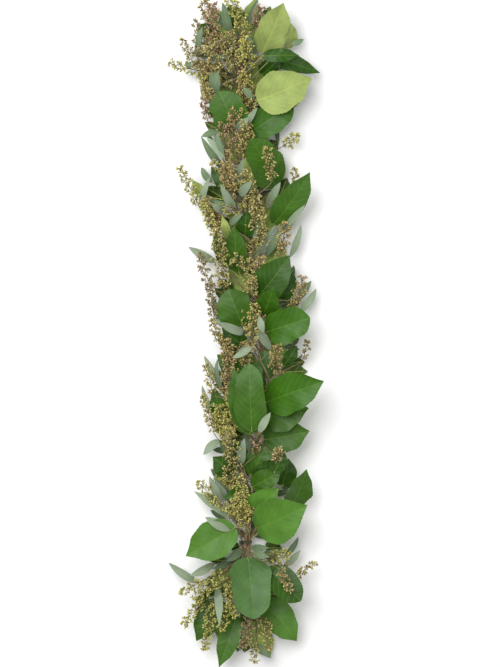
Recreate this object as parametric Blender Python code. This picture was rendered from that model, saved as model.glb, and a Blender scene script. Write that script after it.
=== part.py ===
"""A garland of lemon leaf and seeded eucalyptus: bunches bound along a twine, laid on its back.

Lengths in this file are millimetres until a mesh is made. +X runs across the garland, +Y along it to
the end that most bunches point to, and +Z up. The plan of the garland is drawn on a square grid: plan
columns run to the right and plan rows run down from the top end.
"""

import math
from functools import partial
from typing import NamedTuple

import bpy
import numpy as np
from mathutils.bvhtree import BVHTree

# The plan: the length of one of its steps, and the column and row that the part is laid out round.
PLAN_STEP = 1.8
PLAN_CENTRE = (250.0, 333.5)
SEED = 41

# The core: a twine, and a wire wound round it and round the stems at each bind.
CORE_HEIGHT = 24.0
TWINE_RADIUS = 3.0
TWINE_SPACING = 45.0
TWINE_ROUTE = [(240, 34), (242, 80), (245, 150), (250, 220), (257, 290), (262, 360), (261, 420),
               (255, 480), (246, 536), (243, 575), (243, 600)]
WIRE_RADIUS = 0.5
WIRE_GAP = 0.8
WIRE_ROOM = 0.5
WIRE_RUN_ANGLE = -35.0
WIRE_TURN_POINTS = 6
WIRE_PITCH = 2.5

# The cut stems: how thick they are, how far from the twine's middle they sit, their tails past the
# bind, where each kind leaves the core, and how far they may bend to stay clear of one another.
STEM_RADIUS = 1.8
STEM_SEAT = 5.1
TAIL_LENGTH = 55.0
SHORT_TAIL = 20.0
BEND_TAIL = 34.0
TIE_TAIL = 9.0
TIE_SEAT = 9.0
TIE_TURN = -27.5
TIE_ROW = 540
ROOM_AT_BIND = 12.0
BIND_LENGTH = 5.0
DEPARTURE_LENGTH = 26.0
DEPARTURE_SPREAD = 10.0
FRONT_SLOTS = (145.0, 90.0, 35.0)
BACK_SLOT = -90.0
STEM_SWAYS = (0.0, 9.0, -9.0, 18.0, -18.0, 27.0, -27.0)
STEM_LIFTS = (0.0, 3.0, 7.0, 12.0, 18.0)
STEM_SHARES = (1.0, 0.75, 0.5, 0.3, 0.0)
SHORTEST_STEM = 24.0
STEM_END_ROOM = 9.0
STEM_STRETCH = 42.0
STEM_RISE = 0.12
STEM_END_RISE = 0.1
STUB_LENGTH = 8.0
STUB_SWAY = 0.3
STEM_TAPER = 0.95
STEM_END_RADIUS = 1.3

# The twigs from a stem to its leaves and panicles.
TWIG_RADIUS = 1.1
TWIG_HALF = 0.9
TWIG_TRIES = 26
TWIG_SWAYS = (0.0, 6.0, -6.0, 12.0, -12.0)
STEM_SPOTS = 8
LEAST_TWIG_RUN = 8.0
TWIG_RUN_SHARE = 0.9
EASY_CLIMB = 0.9
RUN_COST = 0.02
CURVE_REACH = 0.38
LONG_TWIG = 26.0
POSE_LIFTS = (0.0, 3.0, 7.0, 12.0, 18.0)

# The blades: their thickness, and the shares of their length at which their rows of points lie.
BLADE_THICKNESS = 0.8
LANCE_STATIONS = (0.3, 0.68)
BROAD_STATIONS = (0.12, 0.36, 0.64, 0.87)
PLAIN_STATIONS = (0.14, 0.45, 0.8)
BROAD_LEAF = 28

# The panicles: seeds drawn out from a three-sided axis, in one or two clusters.
SEED_HALF = 2.1
SEED_LENGTH = 3.4
SEED_LEANS = (0.15, 0.95)
LEAST_REACH = 4.5
REACH_ROOM = 2.5
AXIS_RADIUS = 1.0
STALK_RADIUS = 1.2
CLUSTER_BAND = 3.0
FIRST_CLUSTER = 9.0
FIRST_SHARE = 0.2
LAST_CLUSTER = 16.0
SPRAY_FLATNESS = 0.75
SHORT_SPRAY = 52
NARROW_SPRAY = 11

# How leaves and panicles are laid down: the grid of heights, the room that is left between them,
# the slopes they are tried at, and what makes one slope dearer than another.
CLEARANCE = 0.7
CELL = 2.0
PLAN_HALF = (180.0, 660.0)
SPOT_STEP = 1.8
SETTLE_STEP = 2.2
PITCHES = range(-25, 56, 4)
HALF_SPREAD = 60.0
MOST_OUTWARD = 1.3
ROLL_SHARE = 0.5
EASY_PITCH = 14.0
OUTWARD_PITCH = 22.0
MOST_STRETCH = 1.12
BASE_ROOM = 12.0
MOST_CROSSING = 7.0
LEAST_LIFT = 2.0
PITCH_COST = 0.22
HIGH_COST = 0.3
EASY_TOP = 50.0
OPEN_HEIGHT = 200.0
ROOF_ROOM = 3.0
ROOF_COST = 10.0
MOST_SLOPE = 1.3
SLOPE_ROOM = 1.0

# How a path is raised clear: the spots that are tried along each stretch, and when it is done.
ROOF_RADII = 1.1
STRETCH_SPOTS = 14
LIFT_ROUNDS = 40
LIFT_DONE = 0.02
LEAST_SHARE = 0.1
LEAST_RAISE = 0.35

# The leaves behind the core: how far to each side they start, and how much they lean outward.
BACK_OFFSETS = (-26.0, 22.0, -8.0)
BACK_SIDE_SHARE = 0.6
BACK_LEAN = 0.9
BACK_LEAN_SPREAD = 10
BACK_ROOM = 2.0


class Leaf(NamedTuple):
    """A leaf on the plan: where its blade starts and ends, its width in plan steps, and its look."""

    base: tuple
    tip: tuple
    width: float
    look: str


class Spray(NamedTuple):
    """A panicle of seeds on the plan, from its lowest seed to its tip, and its look."""

    base: tuple
    tip: tuple
    width: float
    look: str


class Bunch(NamedTuple):
    """A bunch bound at a plan row. It points up the plan (+1) or down it (-1)."""

    row: float
    points: int = 1
    top_last: str = "seeds"
    tail: float = TAIL_LENGTH
    seat: float = STEM_SEAT
    turn: float = 0.0
    own_wire: bool = True


# In the order they are bound: each bunch lies on those before it.
BUNCHES = [
    Bunch(48),
    Bunch(88),
    Bunch(133),
    Bunch(178),
    Bunch(224),
    Bunch(269),
    Bunch(314),
    Bunch(357, top_last="lemon"),
    Bunch(406, tail=BEND_TAIL),
    Bunch(452, top_last="lemon"),
    Bunch(498),
    Bunch(586, points=-1, turn=TIE_TURN),
    Bunch(542, points=-1, top_last="lemon", tail=SHORT_TAIL, turn=TIE_TURN, own_wire=False),
    Bunch(543, top_last="lemon", tail=TIE_TAIL, seat=TIE_SEAT),
]

LEMON_LEAVES = [
    Leaf((262, 52), (284, 4), 34, "pale"),
    Leaf((288, 48), (292, 21), 15, "pale"),
    Leaf((264, 56), (320, 72), 18, "deep"),
    Leaf((262, 74), (281, 57), 20, "deep"),
    Leaf((257, 101), (311, 79), 42, "pale"),
    Leaf((249, 133), (293, 105), 31, "bright"),
    Leaf((237, 131), (219, 91), 36, "green"),
    Leaf((276, 186), (252, 140), 38, "green"),
    Leaf((251, 192), (250, 157), 18, "pale"),
    Leaf((274, 224), (310, 174), 30, "deep"),
    Leaf((205, 196), (192, 180), 12, "pale"),
    Leaf((245, 238), (247, 209), 18, "deep"),
    Leaf((239, 272), (234, 227), 24, "green"),
    Leaf((231, 242), (221, 214), 10, "pale"),
    Leaf((258, 297), (289, 256), 34, "deep"),
    Leaf((280, 300), (294, 272), 20, "deep"),
    Leaf((262, 317), (275, 283), 26, "bright"),
    Leaf((243, 326), (228, 290), 37, "green"),
    Leaf((247, 348), (222, 328), 20, "deep"),
    Leaf((266, 332), (309, 318), 36, "bright"),
    Leaf((284, 366), (297, 346), 14, "deep"),
    Leaf((271, 379), (264, 351), 20, "blue"),
    Leaf((250, 394), (249, 361), 33, "green"),
    Leaf((251, 434), (233, 368), 27, "bright"),
    Leaf((266, 402), (322, 381), 40, "bright"),
    Leaf((262, 419), (308, 408), 34, "green"),
    Leaf((264, 440), (309, 431), 33, "green"),
    Leaf((223, 418), (214, 388), 18, "green"),
    Leaf((251, 476), (265, 446), 27, "green"),
    Leaf((254, 481), (281, 461), 22, "deep"),
    Leaf((282, 486), (289, 459), 24, "deep"),
    Leaf((252, 487), (281, 470), 22, "green"),
    Leaf((290, 508), (307, 470), 28, "green"),
    Leaf((251, 512), (279, 487), 26, "green"),
    Leaf((256, 529), (307, 504), 45, "green"),
    Leaf((236, 527), (186, 555), 38, "green"),
    Leaf((248, 557), (254, 616), 42, "blue"),
    Leaf((268, 567), (300, 597), 30, "deep"),
    Leaf((262, 602), (297, 641), 34, "green"),
    Leaf((222, 601), (196, 641), 30, "green"),
    Leaf((238, 612), (219, 667), 22, "green"),
]

LANCE_LEAVES = [
    Leaf((229, 34), (222, 2), 8, "grey"),
    Leaf((226, 26), (213, 9), 7, "grey"),
    Leaf((196, 56), (200, 30), 7, "grey"),
    Leaf((212, 63), (184, 65), 8, "grey"),
    Leaf((246, 24), (258, -2), 8, "grey"),
    Leaf((255, 50), (245, 32), 8, "grey"),
    Leaf((291, 44), (304, 39), 6, "grey"),
    Leaf((214, 104), (200, 85), 8, "silver"),
    Leaf((216, 98), (211, 70), 8, "grey"),
    Leaf((236, 131), (259, 106), 8, "silver"),
    Leaf((220, 131), (201, 136), 7, "grey"),
    Leaf((225, 172), (201, 139), 8, "grey"),
    Leaf((229, 156), (213, 134), 8, "grey"),
    Leaf((234, 186), (247, 147), 8, "silver"),
    Leaf((240, 198), (257, 175), 9, "silver"),
    Leaf((200, 208), (209, 177), 8, "silver"),
    Leaf((212, 182), (201, 167), 8, "grey"),
    Leaf((238, 210), (217, 181), 8, "grey"),
    Leaf((227, 212), (203, 202), 8, "silver"),
    Leaf((229, 225), (244, 213), 7, "grey"),
    Leaf((267, 208), (281, 182), 9, "silver"),
    Leaf((290, 211), (309, 188), 8, "grey"),
    Leaf((283, 233), (306, 205), 8, "silver"),
    Leaf((266, 256), (285, 222), 8, "grey"),
    Leaf((290, 257), (302, 225), 8, "silver"),
    Leaf((217, 262), (188, 247), 9, "silver"),
    Leaf((219, 322), (211, 294), 8, "grey"),
    Leaf((246, 334), (214, 319), 9, "silver"),
    Leaf((271, 350), (253, 325), 9, "silver"),
    Leaf((263, 335), (259, 314), 8, "grey"),
    Leaf((296, 301), (312, 281), 9, "grey"),
    Leaf((299, 312), (317, 289), 9, "silver"),
    Leaf((252, 346), (230, 358), 8, "silver"),
    Leaf((222, 388), (203, 356), 8, "silver"),
    Leaf((216, 418), (201, 386), 8, "silver"),
    Leaf((241, 464), (246, 432), 9, "silver"),
    Leaf((220, 440), (203, 455), 9, "silver"),
    Leaf((260, 436), (271, 420), 8, "silver"),
    Leaf((222, 500), (209, 477), 8, "silver"),
    Leaf((231, 500), (214, 477), 8, "grey"),
    Leaf((233, 520), (194, 492), 9, "silver"),
    Leaf((231, 530), (205, 518), 9, "silver"),
    Leaf((199, 584), (168, 564), 9, "silver"),
    Leaf((215, 564), (190, 576), 9, "silver"),
    Leaf((238, 558), (213, 569), 8, "grey"),
    Leaf((258, 556), (284, 551), 8, "grey"),
    Leaf((284, 567), (301, 551), 8, "silver"),
    Leaf((285, 557), (299, 538), 7, "grey"),
    Leaf((217, 588), (219, 630), 9, "silver"),
    Leaf((231, 598), (242, 622), 9, "silver"),
    Leaf((257, 645), (271, 659), 7, "grey"),
]

SEED_SPRAYS = [
    Spray((206, 24), (204, -4), 13, "olive"),
    Spray((246, 38), (228, -3), 15, "lime"),
    Spray((253, 30), (262, 3), 12, "pink"),
    Spray((214, 58), (212, 3), 18, "pink"),
    Spray((198, 58), (196, 20), 10, "dusky"),
    Spray((192, 60), (181, 38), 9, "olive"),
    Spray((200, 70), (166, 63), 11, "lime"),
    Spray((236, 74), (228, 32), 18, "olive"),
    Spray((250, 72), (243, 38), 17, "lime"),
    Spray((222, 76), (206, 45), 15, "olive"),
    Spray((246, 108), (243, 72), 16, "lime"),
    Spray((208, 121), (203, 97), 11, "pink"),
    Spray((233, 152), (233, 108), 16, "pink"),
    Spray((226, 166), (221, 122), 12, "pink"),
    Spray((281, 147), (300, 134), 12, "lime"),
    Spray((230, 202), (227, 150), 17, "pink"),
    Spray((272, 182), (266, 147), 12, "olive"),
    Spray((294, 184), (296, 167), 9, "olive"),
    Spray((200, 208), (180, 167), 11, "lime"),
    Spray((248, 212), (246, 170), 14, "olive"),
    Spray((262, 246), (256, 196), 17, "olive"),
    Spray((280, 258), (286, 221), 14, "dusky"),
    Spray((216, 236), (203, 205), 14, "lime"),
    Spray((224, 290), (216, 228), 18, "olive"),
    Spray((213, 292), (200, 252), 12, "dusky"),
    Spray((250, 300), (251, 262), 16, "olive"),
    Spray((215, 322), (209, 282), 11, "dusky"),
    Spray((250, 349), (255, 303), 14, "olive"),
    Spray((291, 312), (303, 275), 14, "dusky"),
    Spray((302, 362), (308, 340), 8, "dusky"),
    Spray((230, 390), (226, 338), 17, "pink"),
    Spray((222, 346), (212, 320), 11, "olive"),
    Spray((244, 372), (249, 342), 13, "olive"),
    Spray((278, 378), (276, 343), 14, "dusky"),
    Spray((262, 411), (267, 384), 8, "pink"),
    Spray((229, 418), (228, 392), 10, "olive"),
    Spray((222, 441), (219, 404), 16, "lime"),
    Spray((228, 486), (230, 424), 20, "olive"),
    Spray((256, 456), (257, 430), 10, "pink"),
    Spray((231, 512), (197, 480), 13, "lime"),
    Spray((242, 530), (240, 474), 17, "lime"),
    Spray((262, 560), (291, 553), 13, "lime"),
    Spray((280, 562), (292, 591), 13, "dusky"),
    Spray((295, 578), (316, 562), 9, "olive"),
    Spray((226, 570), (194, 600), 18, "lime"),
    Spray((205, 580), (177, 593), 11, "lime"),
    Spray((206, 600), (182, 626), 11, "lime"),
    Spray((213, 600), (205, 650), 12, "lime"),
    Spray((231, 600), (221, 630), 12, "lime"),
    Spray((250, 612), (243, 647), 14, "pink"),
    Spray((262, 614), (269, 650), 13, "olive"),
    Spray((253, 640), (255, 665), 9, "olive"),
]


def plan_point(column, row):
    """A point of the plan in millimetres."""
    return np.array([(column - PLAN_CENTRE[0]) * PLAN_STEP, (PLAN_CENTRE[1] - row) * PLAN_STEP])


def smooth_route(points, spacing):
    """Points read off a Catmull-Rom curve through the given plan points, about this far apart."""
    ends = [2 * points[0] - points[1]] + points + [2 * points[-1] - points[-2]]
    route = []
    for before, start, end, after in zip(ends, ends[1:], ends[2:], ends[3:]):
        count = max(1, round(float(np.linalg.norm(end - start)) / spacing))
        for t in np.arange(count) / count:
            route.append(0.5 * (2 * start + (end - before) * t
                                + (2 * before - 5 * start + 4 * end - after) * t ** 2
                                + (3 * start - before - 3 * end + after) * t ** 3))
    route.append(points[-1])
    return np.array(route)


TWINE_LINE = smooth_route([plan_point(*point) for point in TWINE_ROUTE], TWINE_SPACING)


def core_x(y):
    """Where the twine's middle lies across the garland at this height of the plan."""
    order = np.argsort(TWINE_LINE[:, 1])
    return np.interp(y, TWINE_LINE[order, 1], TWINE_LINE[order, 0])


def facing_out(points, faces):
    """The same solid with its faces turned to point out."""
    volume = np.linalg.det(points[faces]).sum()
    return (points, faces) if volume > 0 else (points, faces[:, ::-1])


def unit(vector):
    return vector / np.linalg.norm(vector)


def units(vectors):
    """These vectors, each at a length of 1."""
    return vectors / np.linalg.norm(vectors, axis=1)[:, None]


def level_frames(path):
    """A path's directions at its points, and level directions square to them."""
    along = units(np.gradient(path, axis=0))
    return along, units(np.cross(along, (0.0, 0.0, 1.0)))


def carried_frames(path):
    """A path's directions, halfway round each corner, and directions square to them that turn
    as little as can be from one point to the next."""
    runs = units(np.diff(path, axis=0))
    along = units(np.concatenate([runs[:1], runs]) + np.concatenate([runs, runs[-1:]]))
    across = [unit(np.cross(along[0], (0.0, 1.0, 0.0)))]
    for ahead in along[1:]:
        across.append(unit(across[-1] - across[-1].dot(ahead) * ahead))
    return along, np.array(across)


def tube(path, radii, sides, frames=level_frames):
    """A closed tube round a path of 3-D points, as (points, triangles)."""
    path = np.asarray(path, float)
    along, across = frames(path)
    above = np.cross(across, along)
    angles = 2 * math.pi * (np.arange(sides) + 0.5) / sides
    ring = np.cos(angles)[:, None, None] * across + np.sin(angles)[:, None, None] * above
    radii = np.broadcast_to(radii, len(path))
    points = (path + ring * radii[:, None]).transpose(1, 0, 2).reshape(-1, 3)
    faces = []
    for k in range(len(path) - 1):
        for j in range(sides):
            a, b = k * sides + j, k * sides + (j + 1) % sides
            faces += [(a, b, b + sides), (a, b + sides, a + sides)]
    last = (len(path) - 1) * sides
    for j in range(1, sides - 1):
        faces += [(0, j + 1, j), (last, last + j, last + j + 1)]
    return facing_out(points, np.array(faces))


def lemon_half_width(t):
    """Half the width of a lemon leaf, as a share of its widest, at this share of its length."""
    return t ** 0.5 * (1 - t) ** 0.75 / 0.431


def lance_half_width(t):
    """Half the width of a eucalyptus leaf, as a share of its widest, at this share of its length."""
    return t ** 0.7 * (1 - t) ** 0.85 / 0.344


def blade_surface(t, s, form):
    """A point of a leaf's middle surface: t runs along the blade, s from edge to edge."""
    half = form.width / 2 * form.half_width(t)
    rise = form.arch * form.length * np.sin(math.pi * t) - form.droop * form.length * t ** 2
    cup = form.cup * half * np.abs(s) ** 1.5
    turn = 2 * math.pi * (form.waves * t + form.phase + 0.2 * s)
    wave = form.wave_height * s ** 2 * np.sin(turn) * (t * (1 - t)) ** 0.5
    side = form.bend * form.length * (t ** 2 - t)
    return np.stack([t * form.length + 0 * s, s * half + side, rise + cup + wave], -1)


class Form(NamedTuple):
    """What a leaf blade's middle surface is worked out from."""

    length: float
    width: float
    arch: float
    droop: float
    cup: float
    bend: float
    wave_height: float
    waves: float
    phase: float
    half_width: object
    stations: tuple
    neck: float
    creased: bool


def blade_rows(form):
    """The middle surface as rows of points from neck to tip: two at the neck, one at the tip."""
    neck = [np.array([[0.0, form.neck, 0.0], [0.0, -form.neck, 0.0]])] if form.creased else []
    edges = np.array([1.0, 0.0, -1.0] if form.creased else [1.0, -1.0])
    rows = [blade_surface(np.full(len(edges), t), edges, form) for t in form.stations]
    return neck + rows + [blade_surface(np.array([1.0]), np.zeros(1), form)]


def ribbon(rows, ups, halves):
    """A thin closed solid through rows of one to three points, split alike on both its faces."""
    first = np.cumsum([0] + [len(row) for row in rows])
    top = []
    for k in range(len(rows) - 1):
        a, b = first[k], first[k + 1]
        left, right = len(rows[k]), len(rows[k + 1])
        if left == 2 and right == 2:
            top += [(a, a + 1, b), (a + 1, b + 1, b)]
        elif left == 2 and right == 3:
            top += [(a, b + 1, b), (a, a + 1, b + 1), (a + 1, b + 2, b + 1)]
        elif left == 3 and right == 3:
            for j in (0, 1):
                top += [(a + j, a + j + 1, b + j), (a + j + 1, b + j + 1, b + j)]
        else:
            top += [(a + j, a + j + 1, b) for j in range(left - 1)]
    middle = np.concatenate(rows)
    offset = np.concatenate([np.tile(up * half, (len(row), 1)) for row, up, half in zip(rows, ups, halves)])
    count = len(middle)
    edges = {(face[k], face[(k + 1) % 3]) for face in top for k in range(3)}
    faces = top + [(c + count, b + count, a + count) for a, b, c in top]
    for a, b in sorted(edges):
        if (b, a) not in edges:
            faces += [(b, a, a + count), (b, a + count, b + count)]
    return facing_out(np.concatenate([middle + offset, middle - offset]), np.array(faces))


def spray_points(length, width, bend, clusters):
    """A panicle: clusters of stalked seeds along a three-sided axis, and a seed at its tip."""
    reach = max(LEAST_REACH, width / 2 - REACH_ROOM)
    points, faces = [], []
    first_at = min(FIRST_CLUSTER, FIRST_SHARE * length)
    for k, x in enumerate(np.linspace(first_at, length - LAST_CLUSTER, clusters)):
        start = len(points)
        for ring in (0, 1):
            turn = math.pi / 3 * (ring + k)
            for j in range(3):
                a = 2 * math.pi * j / 3 + turn
                y, z = AXIS_RADIUS * math.cos(a), AXIS_RADIUS * math.sin(a)
                points.append(np.array([x + CLUSTER_BAND * ring, y, z]))
        if k:
            faces += prism_sides(before, start)
        for j in range(3):
            a, b = start + j, start + (j + 1) % 3
            for corners, ahead in zip(((a, b, a + 3), (b, b + 3, a + 3)), SEED_LEANS):
                places = [points[corner] for corner in corners]
                made, sides = seed_on(places, corners, ahead, reach, len(points))
                points += made
                faces += sides
        before = start + 3
    points.append(np.array([length, 0.0, 0.0]))
    faces += [(before + j, before + (j + 1) % 3, len(points) - 1) for j in range(3)]
    points = np.array(points)
    share = np.clip(points[:, 0] / length, 0, 1)
    points[:, 1] += bend * length * (share ** 2 - share)
    points[:, 2] *= SPRAY_FLATNESS
    return points, np.array(faces)


def prism_sides(before, start):
    """The plain stretch of axis between two clusters."""
    sides = []
    for j in range(3):
        a, b = before + j, before + (j + 1) % 3
        c, d = start + (j + 1) % 3, start + j
        sides += [(a, b, c), (a, c, d)]
    return sides


def seed_on(places, corners, lean, reach, first):
    """Draws one facet of the axis out into a stalked seed: its new points and its faces."""
    middle = np.mean(places, axis=0)
    out = unit(middle * np.array([0.0, 1.0, 1.0]))
    ahead = unit(np.array([lean, 0.0, 0.0]) + out)
    centre = middle + ahead * (reach / ahead.dot(out))
    made = []
    for place in places:
        flat = place - middle
        flat = flat - ahead * flat.dot(ahead)
        made.append(centre + unit(flat) * SEED_HALF)
    made.append(centre + ahead * SEED_LENGTH)
    sides = []
    for k in range(3):
        a, b = corners[k], corners[(k + 1) % 3]
        c, d = first + (k + 1) % 3, first + k
        sides += [(a, b, c), (a, c, d), (d, c, first + 3)]
    return made, sides


def stalked(points, faces, stalk):
    """The panicle with its axis led back along the stalk, which ends inside the stem."""
    rings = []
    for k, place in enumerate(stalk[:-1]):
        along = unit(stalk[k + 1] - stalk[max(k - 1, 0)])
        across = unit(np.cross(along, (0.0, 0.0, 1.0)))
        above = np.cross(across, along)
        first = points[:3] - points[:3].mean(axis=0)
        if k == 0:
            turn = [math.atan2(v.dot(above), v.dot(across)) for v in first]
        rings.append([place + STALK_RADIUS * (math.cos(a) * across + math.sin(a) * above)
                      for a in turn])
    joined = np.concatenate([np.array(ring) for ring in rings] + [points])
    count = 3 * len(rings)
    shifted = (faces + count).tolist()
    for k in range(len(rings)):
        for j in range(3):
            a, b = 3 * k + j, 3 * k + (j + 1) % 3
            shifted += [(a, b, b + 3), (a, b + 3, a + 3)]
    shifted.append((2, 1, 0))
    return facing_out(joined, np.array(shifted))


def seeds_on_twig(shape, pose, twig):
    """The panicle laid in its place, with its stalk."""
    points, faces = shape
    return stalked(pose.place(points), faces, twig)


def triangle_spots(points, faces, step=SPOT_STEP):
    """Many spots spread over the faces of a solid."""
    corners = points[faces]
    longest = np.linalg.norm(corners - np.roll(corners, 1, axis=1), axis=2).max(axis=1)
    found = []
    for triangle, size in zip(corners, longest):
        found.append(grid_of(max(1, math.ceil(size / step))) @ triangle)
    return np.concatenate(found)


GRIDS = {}


def grid_of(count):
    """The shares of its three corners at each spot of a triangle that is split this many times."""
    if count not in GRIDS:
        GRIDS[count] = np.array([(i, j, count - i - j) for i in range(count + 1)
                                 for j in range(count + 1 - i)]) / count
    return GRIDS[count]


class Heights:
    """The highest surface so far over each cell of the plan, counted from the core's middle."""

    def __init__(self, lowest=0.4):
        self.counts = [int(2 * half / CELL) for half in PLAN_HALF]
        self.top = np.full(self.counts, lowest)

    def copy(self):
        other = Heights()
        other.top = self.top.copy()
        return other

    def cells(self, points):
        index = [((points[:, k] + PLAN_HALF[k]) / CELL).astype(int) for k in (0, 1)]
        return tuple(np.clip(index[k], 0, self.counts[k] - 1) for k in (0, 1))

    def add(self, points):
        np.maximum.at(self.top, self.cells(points), points[:, 2])

    def add_solid(self, solid):
        self.add(triangle_spots(*solid))

    def widened(self, reach=1):
        wide = self.top
        for _ in range(reach):
            edged = np.pad(wide, 1, mode="edge")
            shifts = [edged[i:i + wide.shape[0], j:j + wide.shape[1]] for i in range(3) for j in range(3)]
            wide = np.max(shifts, axis=0)
        return wide


PLAN_CELLS = Heights()


def turned(yaw, pitch, roll):
    """The rotation that points a blade's length along yaw, lifts its tip by pitch and rolls it."""
    cy, sy = math.cos(yaw), math.sin(yaw)
    cp, sp = math.cos(pitch), math.sin(pitch)
    cr, sr = math.cos(roll), math.sin(roll)
    about_z = np.array([[cy, -sy, 0], [sy, cy, 0], [0, 0, 1]])
    about_y = np.array([[cp, 0, -sp], [0, 1, 0], [sp, 0, cp]])
    about_x = np.array([[1, 0, 0], [0, cr, -sr], [0, sr, cr]])
    return about_z @ about_y @ about_x


class Pose(NamedTuple):
    """Where a leaf or spray lies: the place of its base, its stretch and its rotation."""

    at: np.ndarray
    stretch: np.ndarray
    spin: np.ndarray

    def place(self, points):
        return (points * self.stretch) @ self.spin.T + self.at

    @property
    def heading(self):
        return self.spin[:, 0]


def settle(solid, base, tip, under, own, highest=None):
    """Lays a leaf or spray down as low as it goes without touching what lies under it."""
    local = triangle_spots(*solid, step=SETTLE_STEP)
    outward = (base[0] - core_x(base[1])) / HALF_SPREAD
    outward = max(-MOST_OUTWARD, min(MOST_OUTWARD, outward))
    yaw = math.atan2(tip[1] - base[1], tip[0] - base[0])
    roll = ROLL_SHARE * outward * math.sin(yaw)
    easy = EASY_PITCH - OUTWARD_PITCH * outward * math.cos(yaw)
    best = None
    for degrees in PITCHES:
        pitch = math.radians(degrees)
        stretch = np.array([min(MOST_STRETCH, 1 / math.cos(pitch)), 1.0, 1.0])
        pose = Pose(np.array([*base, 0.0]), stretch, turned(yaw, pitch, roll))
        found = pose.place(local)
        cells = PLAN_CELLS.cells(found)
        clear = (under[cells] + CLEARANCE - found[:, 2]).max()
        past = np.hypot(found[:, 0] - base[0], found[:, 1] - base[1]) > BASE_ROOM
        crossing = (own[cells] + CLEARANCE - found[:, 2])[past].max() if past.any() else clear
        lift = max(clear, min(crossing, clear + MOST_CROSSING), LEAST_LIFT)
        too_high = max(0.0, (found[:, 2] + lift).max() - EASY_TOP)
        cost = lift + PITCH_COST * abs(degrees - easy) + HIGH_COST * too_high
        if highest is not None:
            cost += ROOF_COST * max(0.0, lift + ROOF_ROOM - highest)
        if best is None or cost < best[0]:
            best = (cost, pose._replace(at=np.array([*base, lift])))
    return best[1]


def lifted(path, fixed, under, radius, highest):
    """The path with its free points raised until every stretch of it clears what lies under it."""
    path = np.array(path, float)
    caps = np.full(len(path), highest - ROOF_RADII * radius)
    free = ~np.array(fixed)
    path[free, 2] = np.minimum(path[free, 2], caps[free])
    for k in range(len(path)):
        for j in range(len(path)):
            if fixed[j]:
                run = math.dist(path[k][:2], path[j][:2])
                caps[k] = min(caps[k], path[j][2] + MOST_SLOPE * run + SLOPE_ROOM)
    shares = np.linspace(0, 1, STRETCH_SPOTS)[:, None]
    for _ in range(LIFT_ROUNDS):
        worst = 0.0
        for k in range(len(path) - 1):
            found = path[k] + shares * (path[k + 1] - path[k])
            short = under[PLAN_CELLS.cells(found)] + radius + CLEARANCE - found[:, 2]
            pick = int(short.argmax())
            if short[pick] <= LIFT_DONE:
                continue
            high = float(shares[pick, 0])
            for end, share in ((k, 1 - high), (k + 1, high)):
                if not fixed[end] and path[end, 2] < caps[end] and share > LEAST_SHARE:
                    raised = min(caps[end], path[end, 2] + short[pick] * max(share, LEAST_RAISE))
                    worst = max(worst, raised - path[end, 2])
                    path[end, 2] = raised
        if worst <= LIFT_DONE:
            break
    return path


def hub_of(bunch):
    """The middle of the twine where a bunch is bound."""
    y = plan_point(0, bunch.row)[1]
    return np.array([core_x(y), y])


def departure(bunch, slot):
    """The fixed part of a stem: its cut end, its bind, and the stretch where it leaves the core."""
    hub = hub_of(bunch)
    angle = math.radians(slot + bunch.turn)
    out = np.array([math.cos(angle), math.sin(angle)])
    path = []
    for along, seat in ((-bunch.tail, bunch.seat), (BIND_LENGTH, bunch.seat),
                        (DEPARTURE_LENGTH, bunch.seat + DEPARTURE_SPREAD)):
        y = hub[1] + bunch.points * along
        path.append(np.array([core_x(y) + out[0] * seat, y, abs(out[1]) * seat]))
    return path


def curve_between(start, start_heading, end, end_heading, count):
    """Points of a cubic curve that leaves and arrives along the given headings."""
    reach = CURVE_REACH * np.linalg.norm(end - start)
    one, two = start + start_heading * reach, end - end_heading * reach
    t = np.linspace(0, 1, count + 1)[:, None]
    return (1 - t) ** 3 * start + 3 * (1 - t) ** 2 * t * one + 3 * (1 - t) * t ** 2 * two + t ** 3 * end


class Blocked:
    """What has been laid already, as one tree of faces that a new solid is tested against."""

    def __init__(self, solids):
        points, faces, count = [], [], 0
        for solid_points, solid_faces in solids:
            points += solid_points.tolist()
            faces += (solid_faces + count).tolist()
            count += len(solid_points)
        self.tree = BVHTree.FromPolygons(points, faces) if faces else None

    def clears(self, solid):
        if self.tree is None:
            return True
        other = BVHTree.FromPolygons(solid[0].tolist(), solid[1].tolist())
        return not self.tree.overlap(other)


def main_stem(bunch, slot, bases, under, blocked, highest=OPEN_HEIGHT):
    """The path of a cut stem, swayed or lifted as little as takes it clear of the others."""
    for share in STEM_SHARES:
        for lift in STEM_LIFTS:
            for sway in STEM_SWAYS:
                path = stem_path(bunch, slot, bases, under, (sway, lift, share), highest)
                if blocked.clears(stem_solid(path)):
                    return path
    return stem_path(bunch, slot, bases, under, (0.0, 0.0, 1.0), highest)


def stem_path(bunch, slot, bases, under, change, highest):
    """From its cut end, along the core, to just short of its furthest leaf."""
    sway, lift, share = change
    path = departure(bunch, slot)
    fixed = [True] * len(path)
    start, heading = path[-1], unit(path[-1] - path[-2])
    away = [bunch.points * (base[1] - start[1]) for base in bases]
    far = bases[int(np.argmax(away))]
    if share and max(away) > SHORTEST_STEM:
        far = start[:2] + share * (far - start[:2])
        reach = math.dist(far, start[:2])
        end = np.array([*(far - unit(far - start[:2]) * STEM_END_ROOM), start[2] + STEM_RISE * reach])
        count = max(2, round(reach / STEM_STRETCH))
        toward = unit(np.array([*(far - start[:2]), STEM_END_RISE * reach]))
        curve = curve_between(start, heading, end, toward, count)
        arc = np.sin(np.linspace(0, math.pi, count + 1))
        curve[:, 0] += sway * arc
        path += list(curve[1:])
    else:
        path.append(start + heading * STUB_LENGTH + np.array([STUB_SWAY * sway, 0.0, 0.0]))
    path = np.array(path)
    path[3:, 2] += lift
    fixed += [False] * (len(path) - len(fixed))
    return lifted(path, fixed, under, STEM_RADIUS, highest)


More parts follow.
